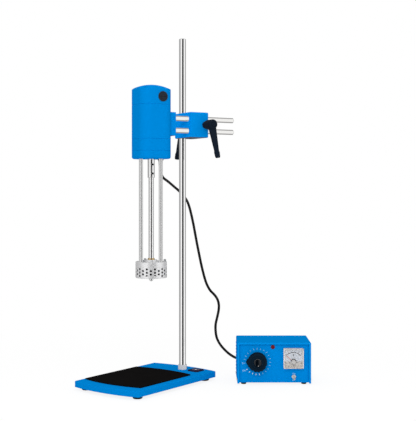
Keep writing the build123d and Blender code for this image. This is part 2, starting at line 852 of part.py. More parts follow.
def make_head():
    rods, nuts = [], []
    body = post(head_radius, flange_bottom, head_top)
    body = fillet(level_edges(body, head_top), 1.0)
    body += post(hub_radius, head_top, head_top + hub_rise)
    body = chamfer(level_edges(body, head_top + hub_rise), 1.0)
    plate_low = head_top - head_plate_thickness
    body -= post(sleeve_bore, flange_bottom, plate_low)
    hub_low = flange_bottom + 1
    body += post(hub_radius, hub_low, plate_low)
    bush_low = hub_low
    body -= post(bush_radius, bush_low, head_top + hub_rise)
    for angle in support_angles:
        turned = Rot(0, 0, angle + 60)
        half = radians(window_angle / 2)
        inner, outer = window_inner, window_outer
        sector = [
            ThreePointArc(
                (outer * cos(half), -outer * sin(half)), (outer, 0),
                (outer * cos(half), outer * sin(half))),
            Line((outer * cos(half), outer * sin(half)), (inner * cos(half), inner * sin(half))),
            ThreePointArc(
                (inner * cos(half), inner * sin(half)), (inner, 0),
                (inner * cos(half), -inner * sin(half))),
            Line((inner * cos(half), -inner * sin(half)), (outer * cos(half), -outer * sin(half))),
        ]
        window = Pos(0, 0, plate_low) * extrude(make_face(Wire(sector)), head_plate_thickness)
        body -= turned * window
        x, y = support_circle * cos(radians(angle)), support_circle * sin(radians(angle))
        body -= post(support_spigot, plate_low, head_top, x, y)
        rod = post(support_radius, head_top, motor_bottom + thread_depth, x, y)
        rods.append(rod + post(support_spigot, plate_low - rod_nut_height, head_top, x, y))
        nut = hexagon(rod_nut_across, plate_low - rod_nut_height, plate_low, x, y)
        nuts.append(nut - post(support_spigot, plate_low - rod_nut_height, plate_low, x, y))
    screws = []
    for step in range(3):
        angle = radians(step * 120 - arm_turn)
        x, y = head_screw_circle * cos(angle), head_screw_circle * sin(angle)
        head = post(head_screw_radius, head_top, head_top + head_screw_head, x, y)
        head -= socket(head_socket_radius, bolt_socket_depth, head_top + head_screw_head, x, y)
        screws.append(head + post(head_screw_shank, plate_low, head_top, x, y))
        body -= post(head_screw_shank, plate_low, head_top, x, y)
    pieces["head_plate"] = arm * body
    pieces["support_rods"] = arm * solids(rods)
    pieces["head_fasteners"] = arm * solids(nuts + screws)
    bush = tube(bush_radius, mixing_shaft_radius + shaft_play, bush_low, head_top + bush_rise)
    pieces["shaft_bush"] = arm * bush


def make_sleeve():
    body = tube(head_radius, sleeve_bore, head_bottom, flange_bottom)
    body += tube(sleeve_bore + 0.5, sleeve_mouth, head_bottom, head_bottom + sleeve_lip)
    body = chamfer(body.edges().filter_by_position(Axis.Z, head_bottom - 0.01, head_bottom + 0.01), 0.5)
    step = 360 / hole_columns
    top = flange_bottom - hole_top_drop
    drill = []
    for column in range(hole_columns):
        count, first = (2, top - hole_pitch / 2) if column % 2 else (3, top)
        for row in range(count):
            z = first - row * hole_pitch
            hole = rod_x(hole_radius, sleeve_bore - 2, head_radius + 1, 0, z)
            drill.append(Rot(0, 0, column * step + 270 - arm_turn + hole_turn) * hole)
    body -= drill
    pieces["perforated_sleeve"] = arm * body


# Control box: cover, chassis and what the panels carry


def make_cover():
    low = box_bottom - box_skirt
    cover = block(box_left, box_right, box_front, box_rear, low, box_top)
    top_edges = cover.edges().filter_by(Axis.Y).filter_by_position(Axis.Z, box_top - 1, box_top + 1)
    cover = fillet(top_edges, cover_round)
    cover -= block(box_left + box_wall, box_right - box_wall, box_front + box_wall, box_rear,
                   low, box_top - box_wall)
    cover -= block(box_left + box_lip, box_right - box_lip, box_front, box_front + box_wall,
                   low, box_top - box_lip)
    middle = box_front + box_depth / 2
    y0, y1 = middle - louvre_length / 2, middle + louvre_length / 2
    for side, x in ((-1, box_left), (1, box_right)):
        skin = x - side * box_wall / 2
        for step in range(louvre_count):
            z = box_bottom + louvre_first + step * louvre_pitch
            outline = Polyline(
                (skin, y0, z + louvre_height), (x, y0, z + louvre_height),
                (x + side * louvre_proud, y0, z), (skin, y0, z), close=True)
            hood = extrude(make_face(Wire(outline.edges())), louvre_length, dir=(0, 1, 0))
            cover += hood
            inner = x - side * box_wall
            slot = x + side * louvre_proud / 3
            cover -= block(min(inner, slot), max(inner, slot), y0 + louvre_end, y1 - louvre_end,
                           z, z + louvre_opening)
    for side, x, y, z in screw_places():
        inner = x - side * box_wall
        cover -= rod_x(cover_screw_shank, min(x, inner), max(x, inner), y, z)
    pieces["box_cover"] = cover


def screw_places():
    """Side, X, Y and Z of the four screws that hold the cover."""
    sides = ((-1, box_left), (1, box_right))
    depths = (box_front + cover_screw_inset, box_rear - cover_screw_inset)
    return [(side, x, y, box_bottom + cover_screw_height) for side, x in sides for y in depths]


def make_chassis():
    gap = panel_play
    left, right = box_left + box_wall + gap, box_right - box_wall - gap
    top = box_top - box_wall - gap
    rear = rear_face
    tray = block(left, right, panel_face, rear, box_bottom, box_bottom + panel_thickness)
    tray += block(left, right, panel_face, panel_back, box_bottom, top)
    tray += block(left, right, rear - panel_thickness, rear, box_bottom, top)
    tab_top = box_bottom + tab_height
    tray += block(left, left + panel_thickness, panel_face, rear, box_bottom, tab_top)
    tray += block(right - panel_thickness, right, panel_face, rear, box_bottom, tab_top)
    y0, y1 = panel_face, panel_back
    tray -= rod_y(knob_shaft_radius + 1, y0, y1, box_left + knob_from_left, knob_height)
    tray -= rod_y(lamp_radius - lamp_rim, y0, y1, box_left + lamp_from_left, lamp_height)
    tray -= rod_y(meter_barrel_radius, y0, y1, box_left + meter_from_left, meter_height)
    tray -= rod_y(switch_collar_radius, y0, y1, box_left + switch_from_left, switch_height)
    y0, y1 = rear - panel_thickness, rear
    tray -= rod_y(boot_tip_radius, y0, y1, box_left + gland_from_left, gland_height)
    w, h = inlet_size
    x = box_left + inlet_from_left
    tray -= block(x - w / 2, x + w / 2, y0, y1, inlet_height - h / 2, inlet_height + h / 2)
    tray -= rod_y(fuse_barrel_radius, y0, y1, box_left + fuse_from_left, fuse_height)

    screws = []
    for side, x, y, z in screw_places():
        end = x - side * (box_wall + gap + panel_thickness)
        shank = rod_x(cover_screw_shank, min(x, end), max(x, end), y, z)
        tray -= shank
        out = x + side * cover_screw_proud
        head = rod_x(cover_screw_radius, min(x, out), max(x, out), y, z)
        reach, narrow = cover_screw_radius * 0.75, cover_screw_slot / 2
        slot = out - side * cover_slot_depth
        for wide, tall in ((reach, narrow), (narrow, reach)):
            head -= block(min(slot, out), max(slot, out), y - wide, y + wide, z - tall, z + tall)
        screws.append(head + shank)
    pieces["box_chassis"] = tray
    pieces["cover_screws"] = solids(screws)


def make_knob():
    x, z = box_left + knob_from_left, knob_height
    back = panel_face - 0.5
    face = Plane(origin=(x, back, z), x_dir=(-1, 0, 0), z_dir=(0, -1, 0))
    spine = knob_tip - knob_nose_radius
    narrowing = knob_radius - knob_nose_radius
    lean = atan2(sqrt(spine ** 2 - narrowing ** 2), narrowing)
    bx, by = knob_radius * cos(lean), knob_radius * sin(lean)
    nx, ny = spine + knob_nose_radius * cos(lean), knob_nose_radius * sin(lean)
    outline = Circle(knob_radius) + Pos(spine, 0) * Circle(knob_nose_radius)
    outline += make_face(Wire(Polyline((bx, by), (nx, ny), (nx, -ny), (bx, -by), close=True).edges()))
    body = extrude(outline, knob_height_over)
    body = chamfer(body.faces().sort_by(Axis.Z)[-1].edges(), knob_bevel)
    for step in range(knob_flutes):
        flute = post(knob_flute_radius, knob_skirt, knob_height_over, knob_radius + knob_flute_radius / 2, 0)
        angle = knob_flute_start + step * (360 - 2 * knob_flute_start) / (knob_flutes - 1)
        body -= Rot(0, 0, angle) * flute
    body -= post(knob_dish_radius, knob_height_over - knob_dish, knob_height_over)
    cap_top = knob_height_over + knob_cap_height - knob_dish
    cap = post(knob_cap_radius, knob_height_over - knob_dish, cap_top)
    cap = fillet(level_edges(cap, cap_top), knob_cap_round)
    end = panel_back + control_depth * 0.7
    knob = face.location * (body + cap) + rod_y(knob_shaft_radius, back - 1, end, x, z)
    pieces["speed_knob"] = knob
    body = rod_y(control_radius, panel_back, panel_back + control_depth, x, z)
    body -= rod_y(knob_shaft_radius + shaft_play, panel_back, end + 1, x, z)
    pieces["speed_control"] = body


def make_lamp():
    x, z = box_left + lamp_from_left, lamp_height
    lens_radius, lens_front = lamp_radius - 2 * lamp_rim, panel_face - lamp_proud
    bezel = rod_y(lamp_radius, panel_face - lamp_rim, panel_face, x, z)
    bezel += rod_y(lamp_radius - lamp_rim, panel_face, panel_back + lamp_body_depth, x, z)
    bezel -= rod_y(lens_radius, panel_face - lamp_rim, panel_face + lamp_depth, x, z)
    lens = rod_y(lens_radius, lens_front, panel_face + lamp_depth, x, z)
    lens = fillet(lens.edges().filter_by_position(Axis.Y, lens_front - 0.01, lens_front + 0.01), 1.0)
    pieces["pilot_lamp"] = solids([bezel, lens])


def make_meter():
    x, z = box_left + meter_from_left, meter_height
    half = meter_size / 2
    front = panel_face - meter_proud
    seat = front + meter_window_thickness
    case = block(x - half, x + half, seat, panel_face, z - half, z + half)
    case = fillet(case.edges().filter_by(Axis.Y), meter_round)
    case += rod_y(meter_barrel_radius, panel_face, panel_back + meter_barrel_depth, x, z)
    inner = half - meter_wall
    floor = panel_face - meter_back
    case -= block(x - inner, x + inner, seat, floor, z - inner, z + inner)
    pivot = z - needle_drop
    bearing = floor - meter_face_thickness
    case -= rod_y(needle_pin_radius, bearing, floor + needle_pin_depth, x, pivot)
    pieces["meter_case"] = case
    face = block(x - inner, x + inner, bearing, floor, z - inner, z + inner)
    pieces["meter_face"] = face - rod_y(needle_pin_radius, bearing, floor, x, pivot)

    window = block(x - half, x + half, front, seat, z - half, z + half)
    window = fillet(window.edges().filter_by(Axis.Y), meter_round)
    window = chamfer(window.faces().sort_by(Axis.Y)[0].edges(), meter_round / 2)
    pieces["meter_window"] = window

    needle_back = bearing - panel_play
    needle = rod_y(needle_hub_radius, needle_back - needle_hub_height, needle_back, 0, 0)
    blade = block(-needle_width / 2, needle_width / 2, needle_back - needle_thickness, needle_back,
                  -needle_tail, needle_length)
    needle += blade
    needle += rod_y(needle_pin_radius - shaft_play, needle_back, floor + needle_pin_depth / 2, 0, 0)
    pieces["meter_needle"] = Pos(x, 0, pivot) * Rot(0, -needle_rest, 0) * needle


def make_switch():
    x, z = box_left + switch_from_left, switch_height
    mouth = panel_face - switch_collar
    w, d, h = switch_body
    body = rod_y(switch_collar_radius, mouth, panel_back, x, z)
    body += block(x - w / 2, x + w / 2, panel_back, panel_back + d, z - h / 2 + 1, z + h / 2 + 1)
    room = toggle_ball_radius + panel_play
    body -= rod_y(room, mouth, mouth + room, x, z)
    nut = hexagon(switch_nut_across, 0, switch_nut_height) - post(switch_collar_radius, 0, switch_nut_height)
    face = Plane(origin=(x, panel_face, z), x_dir=(1, 0, 0), z_dir=(0, -1, 0))
    pieces["switch_body"] = solids([body, face.location * nut])
    end_radius = toggle_neck_radius * 1.6
    stick = Pos(0, 0, toggle_length / 2) * Cone(toggle_neck_radius, end_radius, toggle_length)
    stick += Pos(0, 0, toggle_length) * Sphere(end_radius)
    stick += Sphere(toggle_ball_radius)
    down = Plane(origin=(x, mouth, z), x_dir=(1, 0, 0),
                 z_dir=(0, -cos(radians(toggle_tilt)), -sin(radians(toggle_tilt))))
    pieces["power_toggle"] = down.location * stick


def boot(length, flange):
    """A moulded strain relief with grooves, from its flange along Z."""
    body = Pos(0, 0, length / 2) * Cone(boot_radius - 1.2, boot_tip_radius, length)
    body += post(boot_radius, 0, flange)
    for step in range(boot_grooves):
        z = flange + (step + 1) * (length - flange) / (boot_grooves + 1)
        body -= tube(boot_radius, boot_tip_radius - 0.3, z - boot_groove_width / 2, z + boot_groove_width / 2)
    return body - post(cord_radius, 0, length)


def make_rear():
    rear = rear_face
    face = Plane(origin=(box_left + gland_from_left, rear, gland_height), x_dir=(1, 0, 0), z_dir=(0, 1, 0))
    relief = boot(lower_route[-1][1] - rear, boot_flange)
    pieces["box_cord_boot"] = face.location * relief

    x, z = box_left + inlet_from_left, inlet_height
    w, h = inlet_size
    edge, wall = inlet_flange, inlet_wall
    body = block(x - w / 2, x + w / 2, rear - inlet_depth, rear, z - h / 2, z + h / 2)
    body += block(x - w / 2 - edge, x + w / 2 + edge, rear, rear + edge, z - h / 2 - edge, z + h / 2 + edge)
    body -= block(x - w / 2 + wall, x + w / 2 - wall, rear - inlet_room, rear + edge,
                  z - h / 2 + wall, z + h / 2 - wall)
    pw, ph = pin_size
    for px, pz in pin_places:
        body += block(x + px - pw / 2, x + px + pw / 2, rear - inlet_room - 1, rear - inlet_room + pin_length,
                      z + pz - ph / 2, z + pz + ph / 2)
    pieces["mains_inlet"] = body

    x, z = box_left + fuse_from_left, fuse_height
    end = rear + fuse_proud
    holder = rod_y(fuse_radius, rear, end, x, z)
    holder += rod_y(fuse_barrel_radius, rear - fuse_depth, rear, x, z)
    w, h, sink = fuse_slot
    holder -= block(x - w / 2, x + w / 2, end - sink, end, z - h / 2, z + h / 2)
    pieces["fuse_holder"] = holder


def make_transformer():
    w, d, h = core_size
    x = box_left + box_wall + core_from_left
    y = box_rear - core_from_rear
    floor = box_bottom + panel_thickness
    low, high = floor, floor + h
    core = block(x - w / 2, x + w / 2, y - d / 2, y + d / 2, low, high)
    for side in (-1, 1):
        near, far = side * core_leg / 2, side * (core_leg / 2 + core_window)
        core -= block(x + min(near, far), x + max(near, far), y - d / 2, y + d / 2,
                      low + core_leg / 2, high - core_leg / 2)
    out = core_leg / 2 + core_window
    wind = block(x - out, x + out, y - d / 2 - winding_over, y + d / 2 + winding_over,
                 low + core_leg / 2, high - core_leg / 2)
    wind -= block(x - core_leg / 2, x + core_leg / 2, y - d / 2, y + d / 2,
                  low + core_leg / 2, high - core_leg / 2)
    pieces["transformer"] = solids([core, wind])


# The cord in three lengths, and the boot where it leaves the motor


def route_radii(points):
    radii = []
    for before, here, after in zip(points, points[1:], points[2:]):
        a = Vector(*here) - Vector(*before)
        b = Vector(*after) - Vector(*here)
        shorter = min(a.length, b.length)
        radii.append(0.45 * shorter / tan(radians(a.get_angle(b)) / 2))
    return radii


def cord(name, points):
    radii = route_radii(points)
    path = FilletPolyline(*points, radius=radii)
    start = Plane(origin=path @ 0, z_dir=path % 0)
    body = sweep(start * Circle(cord_radius), path=path)
    pieces[name] = body
    share = body.volume / (pi * cord_radius ** 2 * path.length)
    print(f"{name}: length {path.length:.1f} mm, radius {min(radii):.1f} mm, volume share {share:.4f}")


def make_cords():
    cord("cord_upper", upper_route)
    cord("cord_middle", middle_route)
    cord("cord_lower", lower_route)
    gx, gy = gland_place()
    relief = boot(boot_length, boot_flange)
    pieces["motor_cord_boot"] = arm * (Pos(gx, gy, motor_bottom) * Rot(180, 0, 0) * relief)


make_base()
make_feet()
make_mat()
make_level()
make_column()
make_clamp()
make_levers()
make_guides()
make_housing()
make_motor_inside()
make_rotating()
make_head()
make_sleeve()
make_cover()
make_chassis()
make_knob()
make_lamp()
make_meter()
make_switch()
make_rear()
make_transformer()
make_cords()

for name, shape in pieces.items():
    export_step(shape, f"parts/{name}.step")
print(len(pieces), "pieces")
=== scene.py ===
import math

import bpy
from mathutils import Matrix, Vector


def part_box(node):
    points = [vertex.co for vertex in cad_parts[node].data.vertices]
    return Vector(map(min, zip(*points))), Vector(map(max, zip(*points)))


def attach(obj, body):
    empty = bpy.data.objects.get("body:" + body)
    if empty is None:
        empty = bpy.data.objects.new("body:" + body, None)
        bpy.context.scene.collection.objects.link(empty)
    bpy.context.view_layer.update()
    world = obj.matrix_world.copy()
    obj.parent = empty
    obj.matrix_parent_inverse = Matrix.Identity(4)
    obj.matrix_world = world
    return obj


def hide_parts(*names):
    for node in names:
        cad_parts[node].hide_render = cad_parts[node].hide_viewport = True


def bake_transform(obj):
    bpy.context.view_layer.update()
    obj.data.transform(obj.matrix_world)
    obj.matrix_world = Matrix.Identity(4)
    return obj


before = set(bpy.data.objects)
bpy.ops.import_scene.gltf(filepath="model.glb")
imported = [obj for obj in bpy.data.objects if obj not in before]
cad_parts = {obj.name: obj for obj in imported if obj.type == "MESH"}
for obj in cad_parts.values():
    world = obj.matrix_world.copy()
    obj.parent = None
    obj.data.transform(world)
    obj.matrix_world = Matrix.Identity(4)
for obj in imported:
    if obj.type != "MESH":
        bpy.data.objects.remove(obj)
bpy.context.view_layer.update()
scene = bpy.context.scene
print("frame loaded:", len(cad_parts), "nodes")


# Camera at the photograph's place: level, with its picture shifted down

cameraSet = {
    "place": (0.0292, -2.1288, 0.4383),
    "lens": 80.9,
    "shift": -0.0487,
    "sensor": 36,
    "farthest": 30,
}


def addCamera():
    bpy.ops.object.camera_add(location=cameraSet["place"], rotation=(math.radians(90), 0, 0))
    camera = bpy.context.object
    camera.data.lens = cameraSet["lens"]
    camera.data.shift_y = cameraSet["shift"]
    camera.data.sensor_width = cameraSet["sensor"]
    camera.data.clip_end = cameraSet["farthest"]
    scene.camera = camera


addCamera()
scene.view_settings.view_transform = "Standard"


# Node groups that several finishes share

groupSet = {
    "coarseShare": 0.13,
    "edgeRadius": 0.0006,
    "edgeSamples": 4,
    "turnStart": 0.7,
    "turnGain": 8.0,
}


def newGroup(name, inputs, outputs):
    group = bpy.data.node_groups.new(name, "ShaderNodeTree")
    for socketName, kind, value in inputs:
        socket = group.interface.new_socket(socketName, in_out="INPUT", socket_type=kind)
        if value is not None:
            socket.default_value = value
    for socketName, kind in outputs:
        group.interface.new_socket(socketName, in_out="OUTPUT", socket_type=kind)
    start = group.nodes.new("NodeGroupInput")
    end = group.nodes.new("NodeGroupOutput")
    return group, start, end


def addMath(tree, operation, first, second=None, clamp=False):
    node = tree.nodes.new("ShaderNodeMath")
    node.operation = operation
    node.use_clamp = clamp
    for index, value in enumerate((first, second)):
        if value is None:
            continue
        if isinstance(value, (int, float)):
            node.inputs[index].default_value = value
        else:
            tree.links.new(value, node.inputs[index])
    return node.outputs[0]


def addNoise(tree, vector, scale, detail=3.0, rough=0.55):
    node = tree.nodes.new("ShaderNodeTexNoise")
    tree.links.new(vector, node.inputs["Vector"])
    node.inputs["Detail"].default_value = detail
    node.inputs["Roughness"].default_value = rough
    if isinstance(scale, (int, float)):
        node.inputs["Scale"].default_value = scale
    else:
        tree.links.new(scale, node.inputs["Scale"])
    return node.outputs["Fac"]


def toneDriftGroup():
    # Soft cloudy change of tone, as paint, rubber and plastic have in daylight
    group, start, end = newGroup(
        "toneDrift",
        [("Vector", "NodeSocketVector", None), ("Color", "NodeSocketColor", None),
         ("Scale", "NodeSocketFloat", 20.0), ("Amount", "NodeSocketFloat", 0.08)],
        [("Color", "NodeSocketColor"), ("Mask", "NodeSocketFloat")])
    cloud = addNoise(group, start.outputs["Vector"], start.outputs["Scale"], detail=4.0)
    swing = addMath(group, "SUBTRACT", cloud, 0.5)
    swing = addMath(group, "MULTIPLY", swing, start.outputs["Amount"])
    level = addMath(group, "ADD", swing, 1.0)
    tint = group.nodes.new("ShaderNodeVectorMath")
    tint.operation = "SCALE"
    group.links.new(start.outputs["Color"], tint.inputs[0])
    group.links.new(level, tint.inputs["Scale"])
    group.links.new(tint.outputs[0], end.inputs["Color"])
    group.links.new(cloud, end.inputs["Mask"])
    return group


def grainGroup():
    # Fine grain: a pebbled surface with a coarser swell under it
    group, start, end = newGroup(
        "fineGrain",
        [("Vector", "NodeSocketVector", None), ("Scale", "NodeSocketFloat", 900.0),
         ("Swell", "NodeSocketFloat", 0.3)],
        [("Height", "NodeSocketFloat")])
    fine = addNoise(group, start.outputs["Vector"], start.outputs["Scale"])
    lower = addMath(group, "MULTIPLY", start.outputs["Scale"], groupSet["coarseShare"])
    coarse = addNoise(group, start.outputs["Vector"], lower, detail=1.0)
    coarse = addMath(group, "MULTIPLY", coarse, start.outputs["Swell"])
    total = addMath(group, "ADD", fine, coarse)
    group.links.new(total, end.inputs["Height"])
    return group


def drawnGroup():
    # Lines left by drawing, turning or grinding: noise stretched by three factors
    group, start, end = newGroup(
        "drawnLines",
        [("Vector", "NodeSocketVector", None), ("Stretch", "NodeSocketVector", None)],
        [("Height", "NodeSocketFloat")])
    scaled = group.nodes.new("ShaderNodeVectorMath")
    scaled.operation = "MULTIPLY"
    group.links.new(start.outputs["Vector"], scaled.inputs[0])
    group.links.new(start.outputs["Stretch"], scaled.inputs[1])
    lines = addNoise(group, scaled.outputs[0], 1.0, detail=5.0, rough=0.7)
    group.links.new(lines, end.inputs["Height"])
    return group


def edgeGroup():
    # A mask that rises on outer edges, where a painted highlight goes, and a normal that rounds them
    group, start, end = newGroup(
        "paintedEdgeLight",
        [("Gain", "NodeSocketFloat", 3.0)],
        [("Mask", "NodeSocketFloat"), ("Normal", "NodeSocketVector")])
    rounded = group.nodes.new("ShaderNodeBevel")
    rounded.samples = groupSet["edgeSamples"]
    rounded.inputs["Radius"].default_value = groupSet["edgeRadius"]
    place = group.nodes.new("ShaderNodeNewGeometry")
    dot = group.nodes.new("ShaderNodeVectorMath")
    dot.operation = "DOT_PRODUCT"
    group.links.new(rounded.outputs[0], dot.inputs[0])
    group.links.new(place.outputs["Normal"], dot.inputs[1])
    away = addMath(group, "SUBTRACT", 1.0, dot.outputs["Value"])
    mask = addMath(group, "MULTIPLY", away, start.outputs["Gain"], clamp=True)
    group.links.new(mask, end.inputs["Mask"])
    group.links.new(rounded.outputs[0], end.inputs["Normal"])
    return group


def facingGroup():
    # A mask of the faces that look one way, below a height; on the clamp and the box cover it places
    # painted light and shade
    group, start, end = newGroup(
        "facing",
        [("Vector", "NodeSocketVector", None), ("Way", "NodeSocketVector", None),
         ("Below", "NodeSocketFloat", 1.0)],
        [("Mask", "NodeSocketFloat")])
    place = group.nodes.new("ShaderNodeNewGeometry")
    dot = group.nodes.new("ShaderNodeVectorMath")
    dot.operation = "DOT_PRODUCT"
    group.links.new(place.outputs["Normal"], dot.inputs[0])
    group.links.new(start.outputs["Way"], dot.inputs[1])
    turned = addMath(group, "SUBTRACT", dot.outputs["Value"], groupSet["turnStart"])
    turned = addMath(group, "MULTIPLY", turned, groupSet["turnGain"], clamp=True)
    split = group.nodes.new("ShaderNodeSeparateXYZ")
    group.links.new(start.outputs["Vector"], split.inputs[0])
    low = addMath(group, "LESS_THAN", split.outputs["Z"], start.outputs["Below"])
    group.links.new(addMath(group, "MULTIPLY", turned, low), end.inputs["Mask"])
    return group


def nearAxisGroup():
    # A mask of what lies within a radius of an upright axis, such as the inside of a sleeve, where painted
    # shade goes
    group, start, end = newGroup(
        "nearAxis",
        [("Vector", "NodeSocketVector", None), ("Axis", "NodeSocketVector", None),
         ("Radius", "NodeSocketFloat", 0.02)],
        [("Mask", "NodeSocketFloat")])
    away = group.nodes.new("ShaderNodeVectorMath")
    away.operation = "SUBTRACT"
    group.links.new(start.outputs["Vector"], away.inputs[0])
    group.links.new(start.outputs["Axis"], away.inputs[1])
    flat = group.nodes.new("ShaderNodeVectorMath")
    flat.operation = "MULTIPLY"
    flat.inputs[1].default_value = (1, 1, 0)
    group.links.new(away.outputs[0], flat.inputs[0])
    span = group.nodes.new("ShaderNodeVectorMath")
    span.operation = "LENGTH"
    group.links.new(flat.outputs[0], span.inputs[0])
    near = addMath(group, "LESS_THAN", span.outputs["Value"], start.outputs["Radius"])
    group.links.new(near, end.inputs["Mask"])
    return group


groups = {
    "tone": toneDriftGroup(),
    "grain": grainGroup(),
    "drawn": drawnGroup(),
    "edge": edgeGroup(),
    "facing": facingGroup(),
    "nearAxis": nearAxisGroup(),
}
print("node groups built")


# Finishes


def shade(red, green, blue):
    # Screen values from 0 to 255, as linear light
    linear = []
    for value in (red, green, blue):
        part = value / 255
        linear.append(part / 12.92 if part <= 0.04045 else ((part + 0.055) / 1.055) ** 2.4)
    return (*linear, 1.0)


def addGroup(tree, key, **values):
    node = tree.nodes.new("ShaderNodeGroup")
    node.node_tree = groups[key]
    for name, value in values.items():
        node.inputs[name].default_value = value
    return node


def mixColor(tree, mask, first, second):
    mix = tree.nodes.new("ShaderNodeMix")
    mix.data_type = "RGBA"
    # The colour sockets of this node are inputs 6 and 7 and output 2
    tree.links.new(mask, mix.inputs[0])
    tree.links.new(first, mix.inputs[6])
    mix.inputs[7].default_value = second
    return mix.outputs[2]


usualLook = {"tone": 0.08, "toneScale": 18.0, "grainScale": 900.0, "swell": 0.3, "bump": 0.2,
             "depth": 0.0002, "edgeGain": 3.0, "facing": [], "sockets": {}}


def makeFinish(name, ownLook):
    # A look holds the colour and its drift, roughness, grain, edges (tinted with a painted highlight),
    # tinted faces (painted light and shade, and the meter card's lower tone), painted shade near an axis
    # and fixed sockets
    look = {**usualLook, **ownLook}
    material = bpy.data.materials.new(name)
    material.use_nodes = True
    tree = material.node_tree
    shader = tree.nodes["Principled BSDF"]
    place = tree.nodes.new("ShaderNodeTexCoord").outputs["Object"]
    for socket, value in look["sockets"].items():
        shader.inputs[socket].default_value = value
    tone = addGroup(tree, "tone", Color=look["color"], Scale=look["toneScale"], Amount=look["tone"])
    tree.links.new(place, tone.inputs["Vector"])
    color = tone.outputs["Color"]
    # Faces that look one way take a tint; on the clamp and the box cover this is painted light and shade
    for way, below, tint in look["facing"]:
        side = addGroup(tree, "facing", Way=way, Below=below)
        tree.links.new(place, side.inputs["Vector"])
        color = mixColor(tree, side.outputs["Mask"], color, tint)
    # What lies near an upright axis takes a dark tint: painted shade inside a hollow part
    if "inside" in look:
        axis, radius, tint = look["inside"]
        inner = addGroup(tree, "nearAxis", Axis=axis, Radius=radius)
        tree.links.new(place, inner.inputs["Vector"])
        color = mixColor(tree, inner.outputs["Mask"], color, tint)
    edge = addGroup(tree, "edge", Gain=look["edgeGain"])
    # Outer edges take a lighter tint: a painted highlight
    if "edgeHighlight" in look:
        color = mixColor(tree, edge.outputs["Mask"], color, look["edgeHighlight"])
    tree.links.new(color, shader.inputs["Base Color"])
    low, high = look["roughness"]
    spread = addMath(tree, "MULTIPLY", tone.outputs["Mask"], high - low)
    tree.links.new(addMath(tree, "ADD", spread, low), shader.inputs["Roughness"])
    if "stretch" in look:
        height = addGroup(tree, "drawn", Stretch=look["stretch"])
    else:
        height = addGroup(tree, "grain", Scale=look["grainScale"], Swell=look["swell"])
    tree.links.new(place, height.inputs["Vector"])
    bump = tree.nodes.new("ShaderNodeBump")
    bump.inputs["Strength"].default_value = look["bump"]
    bump.inputs["Distance"].default_value = look["depth"]
    tree.links.new(height.outputs["Height"], bump.inputs["Height"])
    tree.links.new(edge.outputs["Normal"], bump.inputs["Normal"])
    tree.links.new(bump.outputs["Normal"], shader.inputs["Normal"])
    return material


